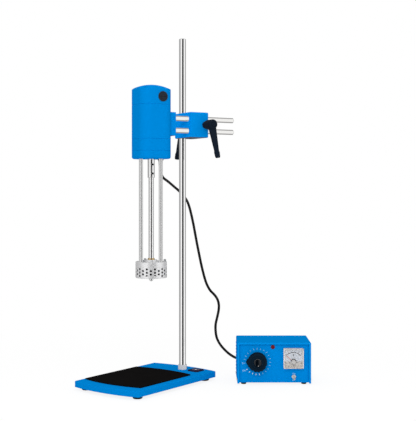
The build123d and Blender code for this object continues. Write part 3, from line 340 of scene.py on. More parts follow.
metal = {"Metallic": 1.0}
paint = {"Specular IOR Level": 0.0}
ink = {"Specular IOR Level": 0.1}
halfMetal = {"Metallic": 0.7}
anyHeight = 2.0
cardFootTop = 0.0530
sleeveSkin = 0.0003
sleeveLow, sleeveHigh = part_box("perforated_sleeve")
sleeveAxis = ((sleeveLow.x + sleeveHigh.x) / 2, (sleeveLow.y + sleeveHigh.y) / 2, 0)
sleeveInside = (sleeveHigh.x - sleeveLow.x) / 2 - sleeveSkin
finishes = {
    # The edge tints in these finishes are painted highlights along outer edges
    "blueCasting": dict(color=shade(0, 127, 205), tone=0.05, toneScale=14, roughness=(0.34, 0.46),
                        grainScale=520, swell=0.8, bump=0.08, depth=0.0003, edgeHighlight=shade(28, 150, 228),
                        edgeGain=1.2, sockets=paint),
    # Clamp blue with painted light and shade: lifted above the casting blue against the shade it sits in,
    # lighter on faces looking left, dark grey underneath as painted shade
    "blueClamp": dict(color=shade(0, 136, 219), tone=0.05, toneScale=14, roughness=(0.34, 0.46),
                      grainScale=520, swell=0.8, bump=0.08, depth=0.0003,
                      facing=[((0, 0, -1), anyHeight, shade(92, 96, 100)),
                              ((-1, 0, 0), anyHeight, shade(0, 158, 250))],
                      sockets=paint),
    # The box cover's upward faces are tinted darker: painted shade on the top
    "blueSheet": dict(color=shade(2, 135, 215), tone=0.03, toneScale=10, roughness=(0.36, 0.48),
                      grainScale=1300, bump=0.10, depth=0.0002, edgeHighlight=shade(16, 142, 222), edgeGain=0.8,
                      facing=[((0, 0, 1), anyHeight, shade(0, 127, 203))], sockets=paint),
    "bluePanel": dict(color=shade(0, 132, 213), tone=0.03, toneScale=9, roughness=(0.34, 0.44),
                      grainScale=1300, bump=0.08, depth=0.0002, sockets=paint),
    "chrome": dict(color=shade(250, 250, 250), tone=0.02, roughness=(0.04, 0.08), stretch=(260, 260, 9),
                   bump=0.02, depth=0.0001, sockets=metal),
    "chromeAlong": dict(color=shade(240, 239, 237), tone=0.02, roughness=(0.06, 0.12),
                        stretch=(200, 200, 260), bump=0.02, depth=0.0001, sockets=metal),
    "turnedSteel": dict(color=shade(250, 250, 250), tone=0.04, roughness=(0.21, 0.28),
                        stretch=(30, 30, 1500), bump=0.03, depth=0.0001, sockets=metal),
    "satinSteel": dict(color=shade(242, 242, 243), tone=0.06, toneScale=60, roughness=(0.40, 0.50),
                       stretch=(60, 60, 1900), bump=0.06, depth=0.0001, sockets=halfMetal),
    # The inside of the sleeve is painted near-black: painted shade inside the sleeve
    "sleeveSteel": dict(color=shade(242, 242, 243), tone=0.06, toneScale=60, roughness=(0.42, 0.52),
                        stretch=(60, 60, 1900), bump=0.06, depth=0.0001,
                        inside=(sleeveAxis, sleeveInside, shade(6, 6, 7)), sockets=halfMetal),
    # Near-black steel for the rotor: painted shade on a part seen only through the sleeve's holes
    "shadedSteel": dict(color=shade(26, 26, 28), tone=0.10, toneScale=60, roughness=(0.4, 0.5),
                      stretch=(60, 60, 1900), bump=0.08, depth=0.0001, sockets=metal),
    "zincScrew": dict(color=shade(190, 193, 196), tone=0.18, toneScale=160, roughness=(0.25, 0.45),
                      grainScale=1800, bump=0.12, sockets=metal),
    "darkScrew": dict(color=shade(44, 44, 47), tone=0.18, toneScale=160, roughness=(0.35, 0.5),
                      grainScale=1800, bump=0.12, sockets=metal),
    "coreSheets": dict(color=shade(92, 94, 98), tone=0.2, toneScale=40, roughness=(0.35, 0.6),
                       stretch=(8, 8, 2400), bump=0.5, depth=0.0002, sockets=metal),
    "copperWire": dict(color=shade(196, 106, 58), tone=0.25, toneScale=60, roughness=(0.25, 0.4),
                       stretch=(20, 20, 1600), bump=0.6, depth=0.0003, sockets=metal),
    "bronze": dict(color=shade(226, 192, 128), tone=0.15, toneScale=120, roughness=(0.22, 0.36),
                   stretch=(40, 40, 1600), bump=0.12, depth=0.0001, sockets=metal),
    "matRubber": dict(color=shade(19, 18, 18), tone=0.35, toneScale=26, roughness=(0.6, 0.85),
                      grainScale=700, swell=0.5, bump=0.4, depth=0.0003, edgeHighlight=shade(32, 27, 24),
                      edgeGain=3.0, sockets=paint),
    "footRubber": dict(color=shade(12, 11, 11), tone=0.25, roughness=(0.35, 0.5), grainScale=900,
                       bump=0.25, depth=0.0003, sockets=ink),
    "cordCover": dict(color=shade(19, 19, 20), tone=0.2, toneScale=40, roughness=(0.4, 0.55),
                      grainScale=1500, bump=0.15, depth=0.0001, sockets={"Specular IOR Level": 0.15}),
    "leverPlastic": dict(color=shade(21, 29, 40), tone=0.2, toneScale=50, roughness=(0.42, 0.58),
                         grainScale=1100, swell=0.6, bump=0.3, depth=0.0003, edgeHighlight=shade(34, 46, 60),
                         edgeGain=1.0, sockets={"Specular IOR Level": 0.02}),
    "glossCap": dict(color=shade(4, 11, 19), tone=0.1, toneScale=60, roughness=(0.12, 0.18),
                     grainScale=1400, bump=0.03, depth=0.0001, sockets={"Specular IOR Level": 0.32}),
    "capPlastic": dict(color=shade(30, 35, 43), tone=0.15, toneScale=60, roughness=(0.35, 0.5),
                       grainScale=1400, bump=0.15, depth=0.0002, edgeHighlight=shade(56, 62, 70),
                       edgeGain=1.0, sockets={"Specular IOR Level": 0.15}),
    "knobPlastic": dict(color=shade(17, 32, 45), tone=0.35, toneScale=60, roughness=(0.20, 0.30),
                        grainScale=1400, bump=0.10, depth=0.0002, sockets=paint),
    "blackPlastic": dict(color=shade(20, 20, 22), tone=0.15, toneScale=60, roughness=(0.35, 0.5),
                         grainScale=1400, bump=0.25, depth=0.0002, sockets={"Specular IOR Level": 0.3}),
    "slatePlastic": dict(color=shade(44, 38, 58), tone=0.15, toneScale=60, roughness=(0.4, 0.5),
                         grainScale=1400, bump=0.15, depth=0.0002, edgeHighlight=shade(66, 66, 96),
                         edgeGain=1.0, sockets=paint),
    "meterPlastic": dict(color=shade(228, 221, 216), tone=0.04, toneScale=70, roughness=(0.22, 0.32),
                         grainScale=900, bump=0.04, depth=0.0001, edgeHighlight=shade(244, 222, 210),
                         edgeGain=1.0, sockets=ink),
    "meterCard": dict(color=shade(198, 204, 213), tone=0.04, toneScale=90, roughness=(0.45, 0.6),
                      grainScale=2200, bump=0.06, depth=0.0001,
                      facing=[((0, -1, 0), cardFootTop, shade(188, 185, 181))], sockets=ink),
    "greyPlastic": dict(color=shade(188, 186, 183), tone=0.08, toneScale=90, roughness=(0.3, 0.4),
                        grainScale=1800, bump=0.06, depth=0.0001, sockets=ink),
    "scaleInk": dict(color=shade(24, 26, 30), tone=0.15, roughness=(0.5, 0.7), bump=0.02, sockets=ink),
    "greyInk": dict(color=shade(128, 130, 134), tone=0.10, roughness=(0.5, 0.7), bump=0.02, sockets=ink),
    "whiteInk": dict(color=shade(222, 238, 250), tone=0.06, toneScale=200, roughness=(0.45, 0.6),
                     grainScale=2500, bump=0.08, depth=0.0001, sockets=ink),
    "paleInk": dict(color=shade(156, 208, 246), tone=0.08, toneScale=200, roughness=(0.45, 0.6),
                    grainScale=2500, bump=0.08, depth=0.0001, sockets=ink),
    "needleRed": dict(color=shade(216, 128, 118), tone=0.06, roughness=(0.3, 0.4), bump=0.03, sockets=ink),
    "lampRed": dict(color=shade(112, 10, 22), tone=0.30, toneScale=260, roughness=(0.14, 0.22),
                    bump=0.05, sockets={"Specular IOR Level": 0.25}),
    "vialLiquid": dict(color=shade(74, 66, 92), tone=0.10, toneScale=160, roughness=(0.30, 0.36),
                       bump=0.02, sockets=ink),
    "bubble": dict(color=shade(224, 230, 244), tone=0.05, roughness=(0.06, 0.12), bump=0.02, sockets=ink),
}
materials = {name: makeFinish(name, look) for name, look in finishes.items()}


clearSet = {"tint": shade(236, 232, 230), "share": 0.05, "specular": 0.6, "smear": 60.0, "rough": 0.12}


def makeClear(name):
    # Clear moulded plastic: thin, slightly smeared, seen mostly by what lies behind it
    material = bpy.data.materials.new(name)
    material.use_nodes = True
    tree = material.node_tree
    shader = tree.nodes["Principled BSDF"]
    shader.inputs["Base Color"].default_value = clearSet["tint"]
    shader.inputs["Specular IOR Level"].default_value = clearSet["specular"]
    place = tree.nodes.new("ShaderNodeTexCoord").outputs["Object"]
    smear = addNoise(tree, place, clearSet["smear"])
    tree.links.new(addMath(tree, "MULTIPLY", smear, clearSet["rough"]), shader.inputs["Roughness"])
    cover = addMath(tree, "MULTIPLY", smear, clearSet["share"])
    tree.links.new(addMath(tree, "ADD", cover, clearSet["share"] / 2), shader.inputs["Alpha"])
    return material


materials["clearCover"] = makeClear("clearCover")
print("finishes built:", len(materials))

nodeFinish = {
    "blueCasting": ["base_plate", "bottom_flange", "lower_housing", "main_housing", "top_cap"],
    "blueClamp": ["clamp_block", "rod_bracket", "bracket_screws"],
    "blueSheet": ["box_cover"],
    "bluePanel": ["box_chassis"],
    "chrome": ["column"],
    "chromeAlong": ["guide_rods", "power_toggle"],
    "turnedSteel": ["support_rods", "mixing_shaft", "shaft_coupling", "tip_nut", "motor_shaft", "bearings"],
    "satinSteel": ["head_plate", "column_nut", "switch_body"],
    "sleeveSteel": ["perforated_sleeve"],
    "shadedSteel": ["rotor"],
    "zincScrew": ["cover_screws", "column_screw", "rod_lever_stud", "column_lever_stud", "through_bolts",
                  "head_fasteners"],
    "darkScrew": ["set_screws"],
    "coreSheets": ["field_core", "armature", "transformer"],
    "copperWire": ["field_coils", "commutator"],
    "bronze": ["shaft_bush", "brush_gear"],
    "matRubber": ["rubber_mat"],
    "footRubber": ["rubber_feet", "box_cord_boot", "motor_cord_boot"],
    "leverPlastic": ["rod_lever", "column_lever"],
    "knobPlastic": ["speed_knob"],
    "capPlastic": ["brush_caps"],
    "blackPlastic": ["speed_control", "mains_inlet", "fuse_holder", "cooling_fan"],
    "slatePlastic": ["level_frame"],
    "meterPlastic": ["meter_case"],
    "meterCard": ["meter_face"],
    "needleRed": ["meter_needle"],
    "lampRed": ["pilot_lamp"],
    "vialLiquid": ["level_vial"],
    "clearCover": ["meter_window"],
    "cordCover": ["cord_upper", "cord_middle", "cord_lower"],
}
for finish, names in nodeFinish.items():
    for name in names:
        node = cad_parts[name]
        node.data.materials.clear()
        node.data.materials.append(materials[finish])
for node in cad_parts.values():
    node.visible_glossy = False  # chrome mirrors only the room
print("nodes finished:", sum(len(names) for names in nodeFinish.values()))


# The cord, in the three lengths that the bodies carry

cordSet = {
    "thickness": 0.006,
    "fineness": 10,
    "roundness": 5,
    "upper": {
        "node": "cord_upper", "length": 0.1832, "from": "motor_head", "to": "clamp",
        "end": (-0.0385, 0.101, 0.436),
        "points": [(-0.0779, 0.0098, 0.489), (-0.0779, 0.0098, 0.477), (-0.0735, 0.0235, 0.466),
                   (-0.064, 0.052, 0.459), (-0.05, 0.084, 0.446), (-0.0385, 0.101, 0.436),
                   (-0.0225, 0.1085, 0.4175), (-0.015, 0.112, 0.4), (-0.0107, 0.113, 0.3814)],
    },
    "middle": {
        "node": "cord_middle", "length": 0.2927, "from": "clamp", "to": "stand_column",
        "points": [(-0.0107, 0.113, 0.3814), (-0.0064, 0.114, 0.3628), (-0.0015, 0.1145, 0.336),
                   (0.0033, 0.1152, 0.31), (0.0085, 0.1156, 0.284), (0.0135, 0.1162, 0.2596),
                   (0.019, 0.1165, 0.237), (0.0245, 0.117, 0.218), (0.0335, 0.1175, 0.2),
                   (0.0455, 0.118, 0.189), (0.0535, 0.1187, 0.176), (0.0558, 0.1193, 0.159),
                   (0.0515, 0.12, 0.137), (0.0463, 0.1222, 0.117), (0.0473, 0.124, 0.103)],
    },
    "lower": {
        "node": "cord_lower", "length": 0.214, "from": "stand_column", "to": "root",
        "end": (0.076, 0.1395, 0.048),
        "points": [(0.0473, 0.124, 0.103), (0.0483, 0.1258, 0.089), (0.0565, 0.131, 0.071),
                   (0.0685, 0.1365, 0.056), (0.083, 0.143, 0.042), (0.101, 0.153, 0.031),
                   (0.125, 0.166, 0.026), (0.152, 0.168, 0.026), (0.172, 0.154, 0.027),
                   (0.178, 0.133, 0.028), (0.178, 0.1165, 0.028)],
    },
}


def routeCurve(name, points):
    curve = bpy.data.curves.new(name, "CURVE")
    curve.dimensions = "3D"
    curve.resolution_u = cordSet["fineness"]
    spline = curve.splines.new("NURBS")
    spline.points.add(len(points) - 1)
    for target, point in zip(spline.points, points):
        target.co = (*point, 1.0)
    spline.order_u = 3
    spline.use_endpoint_u = True
    piece = bpy.data.objects.new(name, curve)
    scene.collection.objects.link(piece)
    return piece


def addCord(part):
    points = part["points"]
    route = routeCurve(part["node"] + "_route", points)
    bpy.context.view_layer.update()
    line = bpy.data.meshes.new_from_object(route)
    route.data.bevel_depth = cordSet["thickness"] / 2
    route.data.bevel_resolution = cordSet["roundness"]
    route.data.use_fill_caps = True
    bpy.context.view_layer.update()
    shown = route.evaluated_get(bpy.context.evaluated_depsgraph_get())
    mesh = bpy.data.meshes.new_from_object(shown)
    bpy.data.objects.remove(route)
    tube = bpy.data.objects.new(part["node"] + "_cover", mesh)
    scene.collection.objects.link(tube)
    mesh.materials.clear()
    mesh.materials.append(materials["cordCover"])
    for polygon in mesh.polygons:
        polygon.use_smooth = True
    tube.visible_glossy = False
    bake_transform(tube)
    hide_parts(part["node"])


for key in ("upper", "middle", "lower"):
    addCord(cordSet[key])
print("cord laid in three lengths")


# Small tools for pieces that this script models

shapeSet = {
    "sides": {"boss": 36, "dish": 48, "ring": 48, "dome": 32, "post": 48},
    "letterSteps": 3,
    "flat": 0.9,
    "endOnly": 0.99,
    "wedgeEdge": 0.3,
    "bossRise": 0.6,
    "bossTop": 0.2,
    "bowlShare": 0.98,
    "bowlAngle": 20,
    "sliver": 0.00001,
    "merge": 0.000001,
    "arcSteps": 40,
    "domeRises": (0.35, 0.15),
    "domeInset": 0.3,
}


def clearSelection():
    if bpy.context.mode != "OBJECT":
        bpy.ops.object.mode_set(mode="OBJECT")
    bpy.ops.object.select_all(action="DESELECT")


def settle(piece):
    # Moves the object's place into its mesh, so that it sits at the origin
    clearSelection()
    piece.select_set(True)
    bpy.context.view_layer.objects.active = piece
    bpy.ops.object.transform_apply(location=True, rotation=True, scale=True)


def editAll():
    bpy.ops.object.mode_set(mode="EDIT")
    bpy.ops.mesh.select_all(action="SELECT")


def editFaces(piece, test):
    # Opens the piece for editing with only the faces that pass the test selected
    bpy.ops.object.mode_set(mode="EDIT")
    bpy.ops.mesh.select_mode(type="FACE")
    bpy.ops.mesh.select_all(action="DESELECT")
    bpy.ops.object.mode_set(mode="OBJECT")
    for polygon in piece.data.polygons:
        polygon.select = test(polygon.normal)
    bpy.ops.object.mode_set(mode="EDIT")


def join(pieces, name):
    clearSelection()
    for piece in pieces:
        piece.select_set(True)
    bpy.context.view_layer.objects.active = pieces[0]
    if len(pieces) > 1:
        bpy.ops.object.join()
    whole = bpy.context.view_layer.objects.active
    whole.name = name
    whole.data.name = name
    return whole


def dress(piece, finish, body="root"):
    piece.data.materials.clear()
    piece.data.materials.append(materials[finish])
    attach(piece, body)
    return piece


def slab(size, centre, bevel, turn=(0, 0, 0)):
    # A small bevelled plate, sized along its own axes
    clearSelection()
    bpy.ops.mesh.primitive_cube_add(size=1, location=centre, rotation=turn)
    piece = bpy.context.object
    piece.scale = size
    settle(piece)
    editAll()
    bpy.ops.mesh.bevel(offset=bevel, segments=2)
    bpy.ops.object.mode_set(mode="OBJECT")
    return piece


def wedge(size, centre, narrow, angle):
    # A flat mark that faces the front, its inner end narrower
    clearSelection()
    bpy.ops.mesh.primitive_cube_add(size=1, location=centre, rotation=(0, -angle, 0))
    piece = bpy.context.object
    piece.scale = size
    settle(piece)
    inner = Vector((-math.cos(angle), 0, -math.sin(angle)))
    editFaces(piece, lambda normal: normal.dot(inner) > shapeSet["flat"])
    bpy.ops.transform.resize(value=(narrow, 1, narrow))
    bpy.ops.mesh.select_all(action="SELECT")
    bpy.ops.mesh.bevel(offset=size[1] * shapeSet["wedgeEdge"], segments=1)
    bpy.ops.object.mode_set(mode="OBJECT")
    return piece


def drum(kind, centre, radius, height):
    # A cylinder that stands out to the front, open for editing with its front face selected
    x, y, z = centre
    clearSelection()
    bpy.ops.mesh.primitive_cylinder_add(vertices=shapeSet["sides"][kind], radius=radius, depth=height,
                                        location=(x, y - height / 2, z), rotation=(math.radians(90), 0, 0))
    piece = bpy.context.object
    settle(piece)
    editFaces(piece, lambda normal: normal.y < -shapeSet["flat"])
    return piece


def boss(centre, radius, height, bevel):
    # A round boss that stands out to the front, its face domed
    piece = drum("boss", centre, radius, height)
    for rise in (shapeSet["bossRise"], shapeSet["bossTop"]):
        bpy.ops.mesh.inset(thickness=bevel)
        bpy.ops.transform.translate(value=(0, -bevel * rise, 0))
    bpy.ops.object.mode_set(mode="OBJECT")
    return piece


def dish(centre, radius, height, hollow, rim, steps):
    # A round cap that stands out to the front, its face hollowed like a shallow bowl
    piece = drum("dish", centre, radius, height)
    bpy.ops.mesh.inset(thickness=rim)
    bowl = radius - rim
    for index in range(steps):
        outer, inner = 1 - index / steps, 1 - (index + 1) / steps
        bpy.ops.mesh.inset(thickness=bowl / steps * shapeSet["bowlShare"])
        bpy.ops.transform.translate(value=(0, hollow * (outer ** 2 - inner ** 2), 0))
    bpy.ops.object.mode_set(mode="OBJECT")
    bpy.ops.object.shade_smooth_by_angle(angle=math.radians(shapeSet["bowlAngle"]))
    return piece


def words(text, size, centre, thick, turn=0.0, bold=0.0):
    # Flat lettering that faces the front, turned about the viewing direction
    clearSelection()
    bpy.ops.object.text_add(location=centre, rotation=(math.radians(90), math.radians(turn), 0))
    piece = bpy.context.object
    piece.data.body = text
    piece.data.size = size
    piece.data.align_x = "CENTER"
    piece.data.align_y = "CENTER"
    piece.data.extrude = thick
    piece.data.offset = bold
    piece.data.resolution_u = shapeSet["letterSteps"]
    bpy.ops.object.convert(target="MESH")
    settle(bpy.context.object)
    return bpy.context.object


def arcBand(centre, radius, first, sweep, width, thick):
    # A flat bent strip that faces the front: one short quad spun about the centre
    x, y, z = centre
    clearSelection()
    bpy.ops.mesh.primitive_plane_add(size=1, location=(x + radius, y, z),
                                     rotation=(math.radians(90), 0, 0))
    piece = bpy.context.object
    piece.scale = (width, shapeSet["sliver"], 1)
    settle(piece)
    editAll()
    bpy.ops.transform.rotate(value=math.radians(first), orient_axis="Y", center_override=centre)
    bpy.ops.mesh.spin(steps=shapeSet["arcSteps"], dupli=False, angle=math.radians(sweep), center=centre,
                      axis=(0, 1, 0))
    bpy.ops.mesh.select_all(action="SELECT")
    bpy.ops.mesh.remove_doubles(threshold=shapeSet["merge"])
    bpy.ops.object.mode_set(mode="OBJECT")
    solid = piece.modifiers.new("solid", "SOLIDIFY")
    solid.thickness = thick
    solid.offset = 0
    bpy.ops.object.modifier_apply(modifier=solid.name)
    editAll()
    bpy.ops.mesh.normals_make_consistent(inside=False)
    bpy.ops.object.mode_set(mode="OBJECT")
    return piece


def levelRing(centre, radius, width, thick):
    # A flat ring that lies level
    clearSelection()
    bpy.ops.mesh.primitive_circle_add(vertices=shapeSet["sides"]["ring"], radius=radius, location=centre)
    piece = bpy.context.object
    settle(piece)
    share = (radius - width) / radius
    editAll()
    bpy.ops.mesh.extrude_edges_move()
    bpy.ops.transform.resize(value=(share, share, 1), center_override=centre)
    bpy.ops.mesh.select_all(action="SELECT")
    bpy.ops.mesh.extrude_region_move(TRANSFORM_OT_translate={"value": (0, 0, thick)})
    bpy.ops.mesh.select_all(action="SELECT")
    bpy.ops.mesh.normals_make_consistent(inside=False)
    bpy.ops.object.mode_set(mode="OBJECT")
    return piece


def levelDome(centre, radius, height):
    # A low round dome that lies level
    clearSelection()
    bpy.ops.mesh.primitive_cylinder_add(vertices=shapeSet["sides"]["dome"], radius=radius, depth=height / 2,
                                        location=(centre[0], centre[1], centre[2] + height / 4))
    piece = bpy.context.object
    settle(piece)
    editFaces(piece, lambda normal: normal.z > shapeSet["flat"])
    for share in shapeSet["domeRises"]:
        bpy.ops.mesh.inset(thickness=radius * shapeSet["domeInset"])
        bpy.ops.transform.translate(value=(0, 0, height * share))
    bpy.ops.object.mode_set(mode="OBJECT")
    bpy.ops.object.shade_smooth()
    return piece


# The two clamping levers, their arms tapering evenly to a thicker tip

leverSet = {
    "turn": 30.0,
    "collarRadius": 0.008,
    "collarHeight": 0.011,
    "headRadius": 0.011,
    "headTop": 0.0385,
    "topRound": 0.004,
    "lowRound": 0.0015,
    "buttonRadius": 0.005,
    "buttonGap": 0.0005,
    "buttonDrop": 0.0015,
    "armStart": 0.0285,
    "armLean": 0.010,
    "armLength": 0.077,
    "corner": 0.40,
    # Each section: its share of the length, its thickness and its width
    "sections": [(0.05, 0.0140, 0.0180), (0.30, 0.0120, 0.0156), (0.58, 0.0098, 0.0130),
                 (0.78, 0.0084, 0.0110), (0.84, 0.0096, 0.0128), (0.96, 0.0084, 0.0116),
                 (0.985, 0.0074, 0.0104), (1.0, 0.0050, 0.0078)],
    "smoothAngle": 40,
    "studMiddle": 0.0045,
    "pair": {
        "rod_lever": {"side": -1, "swing": 8.0, "body": "rod_clamping_lever"},
        "column_lever": {"side": 1, "swing": 9.0, "body": "column_clamping_lever"},
    },
}


def leverArm():
    # Rounded sections in the lever's own axes: X along the arm, Z along the stud
    clearSelection()
    length, lean, start = leverSet["armLength"], leverSet["armLean"], leverSet["armStart"]
    share, thick, wide = leverSet["sections"][0]
    here = Vector((share * length, 0, start + share * lean))
    bpy.ops.mesh.primitive_plane_add(size=1, location=here, rotation=(0, math.radians(90), 0))
    piece = bpy.context.object
    piece.scale = (thick, wide, 1)
    settle(piece)
    editAll()
    bpy.ops.mesh.bevel(offset=thick * leverSet["corner"], segments=4, affect="VERTICES")
    bpy.ops.mesh.select_all(action="SELECT")
    for share, nextThick, nextWide in leverSet["sections"][1:]:
        there = Vector((share * length, 0, start + share * lean))
        bpy.ops.mesh.extrude_region_move(TRANSFORM_OT_translate={"value": there - here})
        bpy.ops.transform.resize(value=(1, nextWide / wide, nextThick / thick), center_override=there)
        here, thick, wide = there, nextThick, nextWide
    bpy.ops.mesh.select_all(action="SELECT")
    bpy.ops.mesh.normals_make_consistent(inside=False)
    bpy.ops.object.mode_set(mode="OBJECT")
    return piece


def leverPost(radius, low, high):
    clearSelection()
    bpy.ops.mesh.primitive_cylinder_add(vertices=shapeSet["sides"]["post"], radius=radius, depth=high - low,
                                        location=(0, 0, (low + high) / 2))
    piece = bpy.context.object
    settle(piece)
    return piece


def leverHead():
    # The round head, its end hollowed round a push button
    top, rounding = leverSet["headTop"], leverSet["topRound"]
    piece = leverPost(leverSet["headRadius"], leverSet["collarHeight"], top)
    editFaces(piece, lambda normal: normal.z < -shapeSet["flat"])
    bpy.ops.mesh.bevel(offset=leverSet["lowRound"], segments=2)
    editFaces(piece, lambda normal: normal.z > shapeSet["flat"])
    bpy.ops.mesh.bevel(offset=rounding, segments=5)
    editFaces(piece, lambda normal: normal.z > shapeSet["endOnly"])
    gap, drop = leverSet["buttonGap"], leverSet["buttonDrop"]
    bpy.ops.mesh.inset(thickness=leverSet["headRadius"] - rounding - leverSet["buttonRadius"] - gap)
    bpy.ops.mesh.extrude_region_move(TRANSFORM_OT_translate={"value": (0, 0, -drop)})
    bpy.ops.mesh.inset(thickness=gap)
    bpy.ops.mesh.extrude_region_move(TRANSFORM_OT_translate={"value": (0, 0, drop)})
    bpy.ops.object.mode_set(mode="OBJECT")
    return piece


def addLever(name, part):
    collar = leverPost(leverSet["collarRadius"], 0, leverSet["collarHeight"])
    whole = join([leverHead(), collar, leverArm()], name + "_cover")
    clearSelection()
    whole.select_set(True)
    bpy.context.view_layer.objects.active = whole
    bpy.ops.object.shade_smooth_by_angle(angle=math.radians(leverSet["smoothAngle"]))
    side, turn, swing = part["side"], math.radians(leverSet["turn"]), math.radians(part["swing"])
    outward = Vector((-side * math.sin(turn), side * math.cos(turn), 0))
    across = Vector((-side * math.cos(turn), -side * math.sin(turn), 0))
    along = math.sin(swing) * across - math.cos(swing) * Vector((0, 0, 1))
    low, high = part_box(name + "_stud")
    whole.matrix_world = Matrix((along, outward.cross(along), outward)).transposed().to_4x4()
    whole.location = (low + high) / 2 + outward * leverSet["studMiddle"]
    settle(whole)
    dress(whole, "leverPlastic", part["body"])
    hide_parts(name)


for name, part in leverSet["pair"].items():
    addLever(name, part)
print("levers finished")


# Printing on the front panel round the knob and at the switch

dialSet = {
    "centre": (0.1404, 0.001, 0.0518),
    "markRadius": 0.0287,
    "marks": 22,
    "firstAngle": 186.0,
    "sweep": 329.5,
    "markSize": (0.0040, 0.0002, 0.0011),
    "boldFrom": 17,
    "boldSize": (0.0037, 0.0002, 0.0018),
    "narrow": 0.55,
    "labels": {"0": (0.1073, 0.0479), "100": (0.1102, 0.0315)},
    "labelSize": 0.0058,
    "labelThick": 0.0001,
    "labelBold": 0.0001,
}


def addDial():
    x, y, z = dialSet["centre"]
    reach, narrow = dialSet["markRadius"], dialSet["narrow"]
    pale, bold = [], []
    for index in range(dialSet["marks"]):
        swept = index * dialSet["sweep"] / (dialSet["marks"] - 1)
        angle = math.radians(dialSet["firstAngle"] - swept)
        centre = (x + reach * math.cos(angle), y, z + reach * math.sin(angle))
        if index >= dialSet["boldFrom"]:
            bold.append(wedge(dialSet["boldSize"], centre, narrow, angle))
        else:
            pale.append(wedge(dialSet["markSize"], centre, narrow, angle))
    dress(join(pale, "dial_marks"), "paleInk")
    dress(join(bold, "dial_bold_marks"), "whiteInk")
    labels = []
    for text, (px, pz) in dialSet["labels"].items():
        labels.append(words(text, dialSet["labelSize"], (px, y, pz), dialSet["labelThick"],
                            bold=dialSet["labelBold"]))
    dress(join(labels, "dial_numbers"), "paleInk")


switchSet = {
    "centre": (0.2224, 0.001),
    "heights": {"ON": 0.0249, "OFF": 0.0102},
    "size": 0.0040,
    "thick": 0.0001,
    "bold": 0.00006,
}


def addSwitchWords():
    x, y = switchSet["centre"]
    pair = []
    for text, height in switchSet["heights"].items():
        pair.append(words(text, switchSet["size"], (x, y, height), switchSet["thick"],
                          bold=switchSet["bold"]))
    dress(join(pair, "switch_words"), "paleInk")


knobSet = {"capRadius": 0.0084, "capHeight": 0.0024, "hollow": 0.0021, "rim": 0.0005, "steps": 8}


def addKnobCap():
    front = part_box("speed_knob")[0].y
    centre = (dialSet["centre"][0], front, dialSet["centre"][2])
    cap = dish(centre, knobSet["capRadius"], knobSet["capHeight"], knobSet["hollow"], knobSet["rim"],
               knobSet["steps"])
    dress(join([cap], "knob_cap"), "glossCap", "knob")


addDial()
addSwitchWords()
addKnobCap()
print("panel printed")


# The meter's scale, its hub cover, adjuster and screws

meterSet = {
    "centreX": 0.2215,
    "pivotHeight": 0.0514,
    "cardFront": -0.002,
    "windowBack": -0.007,
    "windowFront": -0.009,
    "arcRadius": 0.0215,
    "arcHalf": 46.0,
    "lineWidth": 0.0013,
    "majorTicks": 6,
    "minorPerMajor": 5,
    "majorLength": 0.0028,
    "minorLength": 0.0015,
    "majorWidth": 0.0009,
    "minorWidth": 0.0004,
    "numberRadius": 0.0262,
    "numberSize": 0.0029,
    "step": 50,
    "thick": 0.00008,
    "unitRise": 0.0153,
    "unitSize": 0.0052,
    "unitBold": 0.0004,
    "hubRise": 0.0010,
    "hubRadius": 0.0047,
    "hubDepth": 0.0028,
    "hubEdge": 0.0001,
    "archRadius": 0.0056,
    "archWidth": 0.0021,
    "archHalf": 72.0,
    "archThick": 0.0004,
    "archRise": 0.0002,
    "skirtRadius": 0.0222,
    "skirtRise": 0.0196,
    "skirtHalf": 36.0,
    "skirtWidth": 0.0009,
    "printRise": 0.0001,
    "adjusterDrop": 0.0058,
    "adjusterRadius": 0.0017,
    "adjusterHeight": 0.0005,
    "adjusterEdge": 0.0002,
    "slotSize": (0.0024, 0.0002, 0.0005),
    "slotRise": 0.0006,
    "slotEdge": 0.00005,
    "screwSide": 0.0188,
    "screwDrop": 0.0019,
    "screwRadius": 0.0010,
    "screwHeight": 0.0004,
    "screwEdge": 0.0001,
}


def addMeterScale():
    x, y, z = meterSet["centreX"], meterSet["cardFront"], meterSet["pivotHeight"]
    radius, half, thick = meterSet["arcRadius"], meterSet["arcHalf"], meterSet["thick"]
    perMajor = meterSet["minorPerMajor"]
    parts = [arcBand((x, y, z), radius, 90 - half, 2 * half, meterSet["lineWidth"], thick)]
    numbers = []
    count = (meterSet["majorTicks"] - 1) * perMajor
    for index in range(count + 1):
        major = index % perMajor == 0
        length = meterSet["majorLength"] if major else meterSet["minorLength"]
        width = meterSet["majorWidth"] if major else meterSet["minorWidth"]
        angle = math.radians(90 + half - 2 * half * index / count)
        reach = radius + length / 2
        centre = (x + reach * math.cos(angle), y, z + reach * math.sin(angle))
        parts.append(slab((length, thick, width), centre, thick / 4, (0, -angle, 0)))
        if major:
            away = meterSet["numberRadius"]
            value = str(index // perMajor * meterSet["step"])
            spot = (x + away * math.cos(angle), y, z + away * math.sin(angle))
            lean = 90 - math.degrees(angle)
            numbers.append(words(value, meterSet["numberSize"], spot, thick / 2, lean))
    unit = (x, y, z + meterSet["unitRise"])
    parts.append(words("V", meterSet["unitSize"], unit, thick / 2, bold=meterSet["unitBold"]))
    dress(join(parts, "meter_scale"), "scaleInk")
    dress(join(numbers, "meter_numbers"), "greyInk")


def addMeterHub():
    # The domed cover over the needle's pivot, with a dark arch round its upper half: a painted shadow
    x, z = meterSet["centreX"], meterSet["pivotHeight"] + meterSet["hubRise"]
    y = meterSet["windowBack"] + meterSet["hubDepth"]
    half = meterSet["archHalf"]
    cap = boss((x, y, z), meterSet["hubRadius"], meterSet["hubDepth"], meterSet["hubEdge"])
    dress(join([cap], "meter_hub"), "greyPlastic")
    arch = arcBand((x, y - meterSet["archRise"], z), meterSet["archRadius"], 90 - half, 2 * half,
                   meterSet["archWidth"], meterSet["archThick"])
    dress(join([arch], "meter_hub_shadow_arch"), "scaleInk")


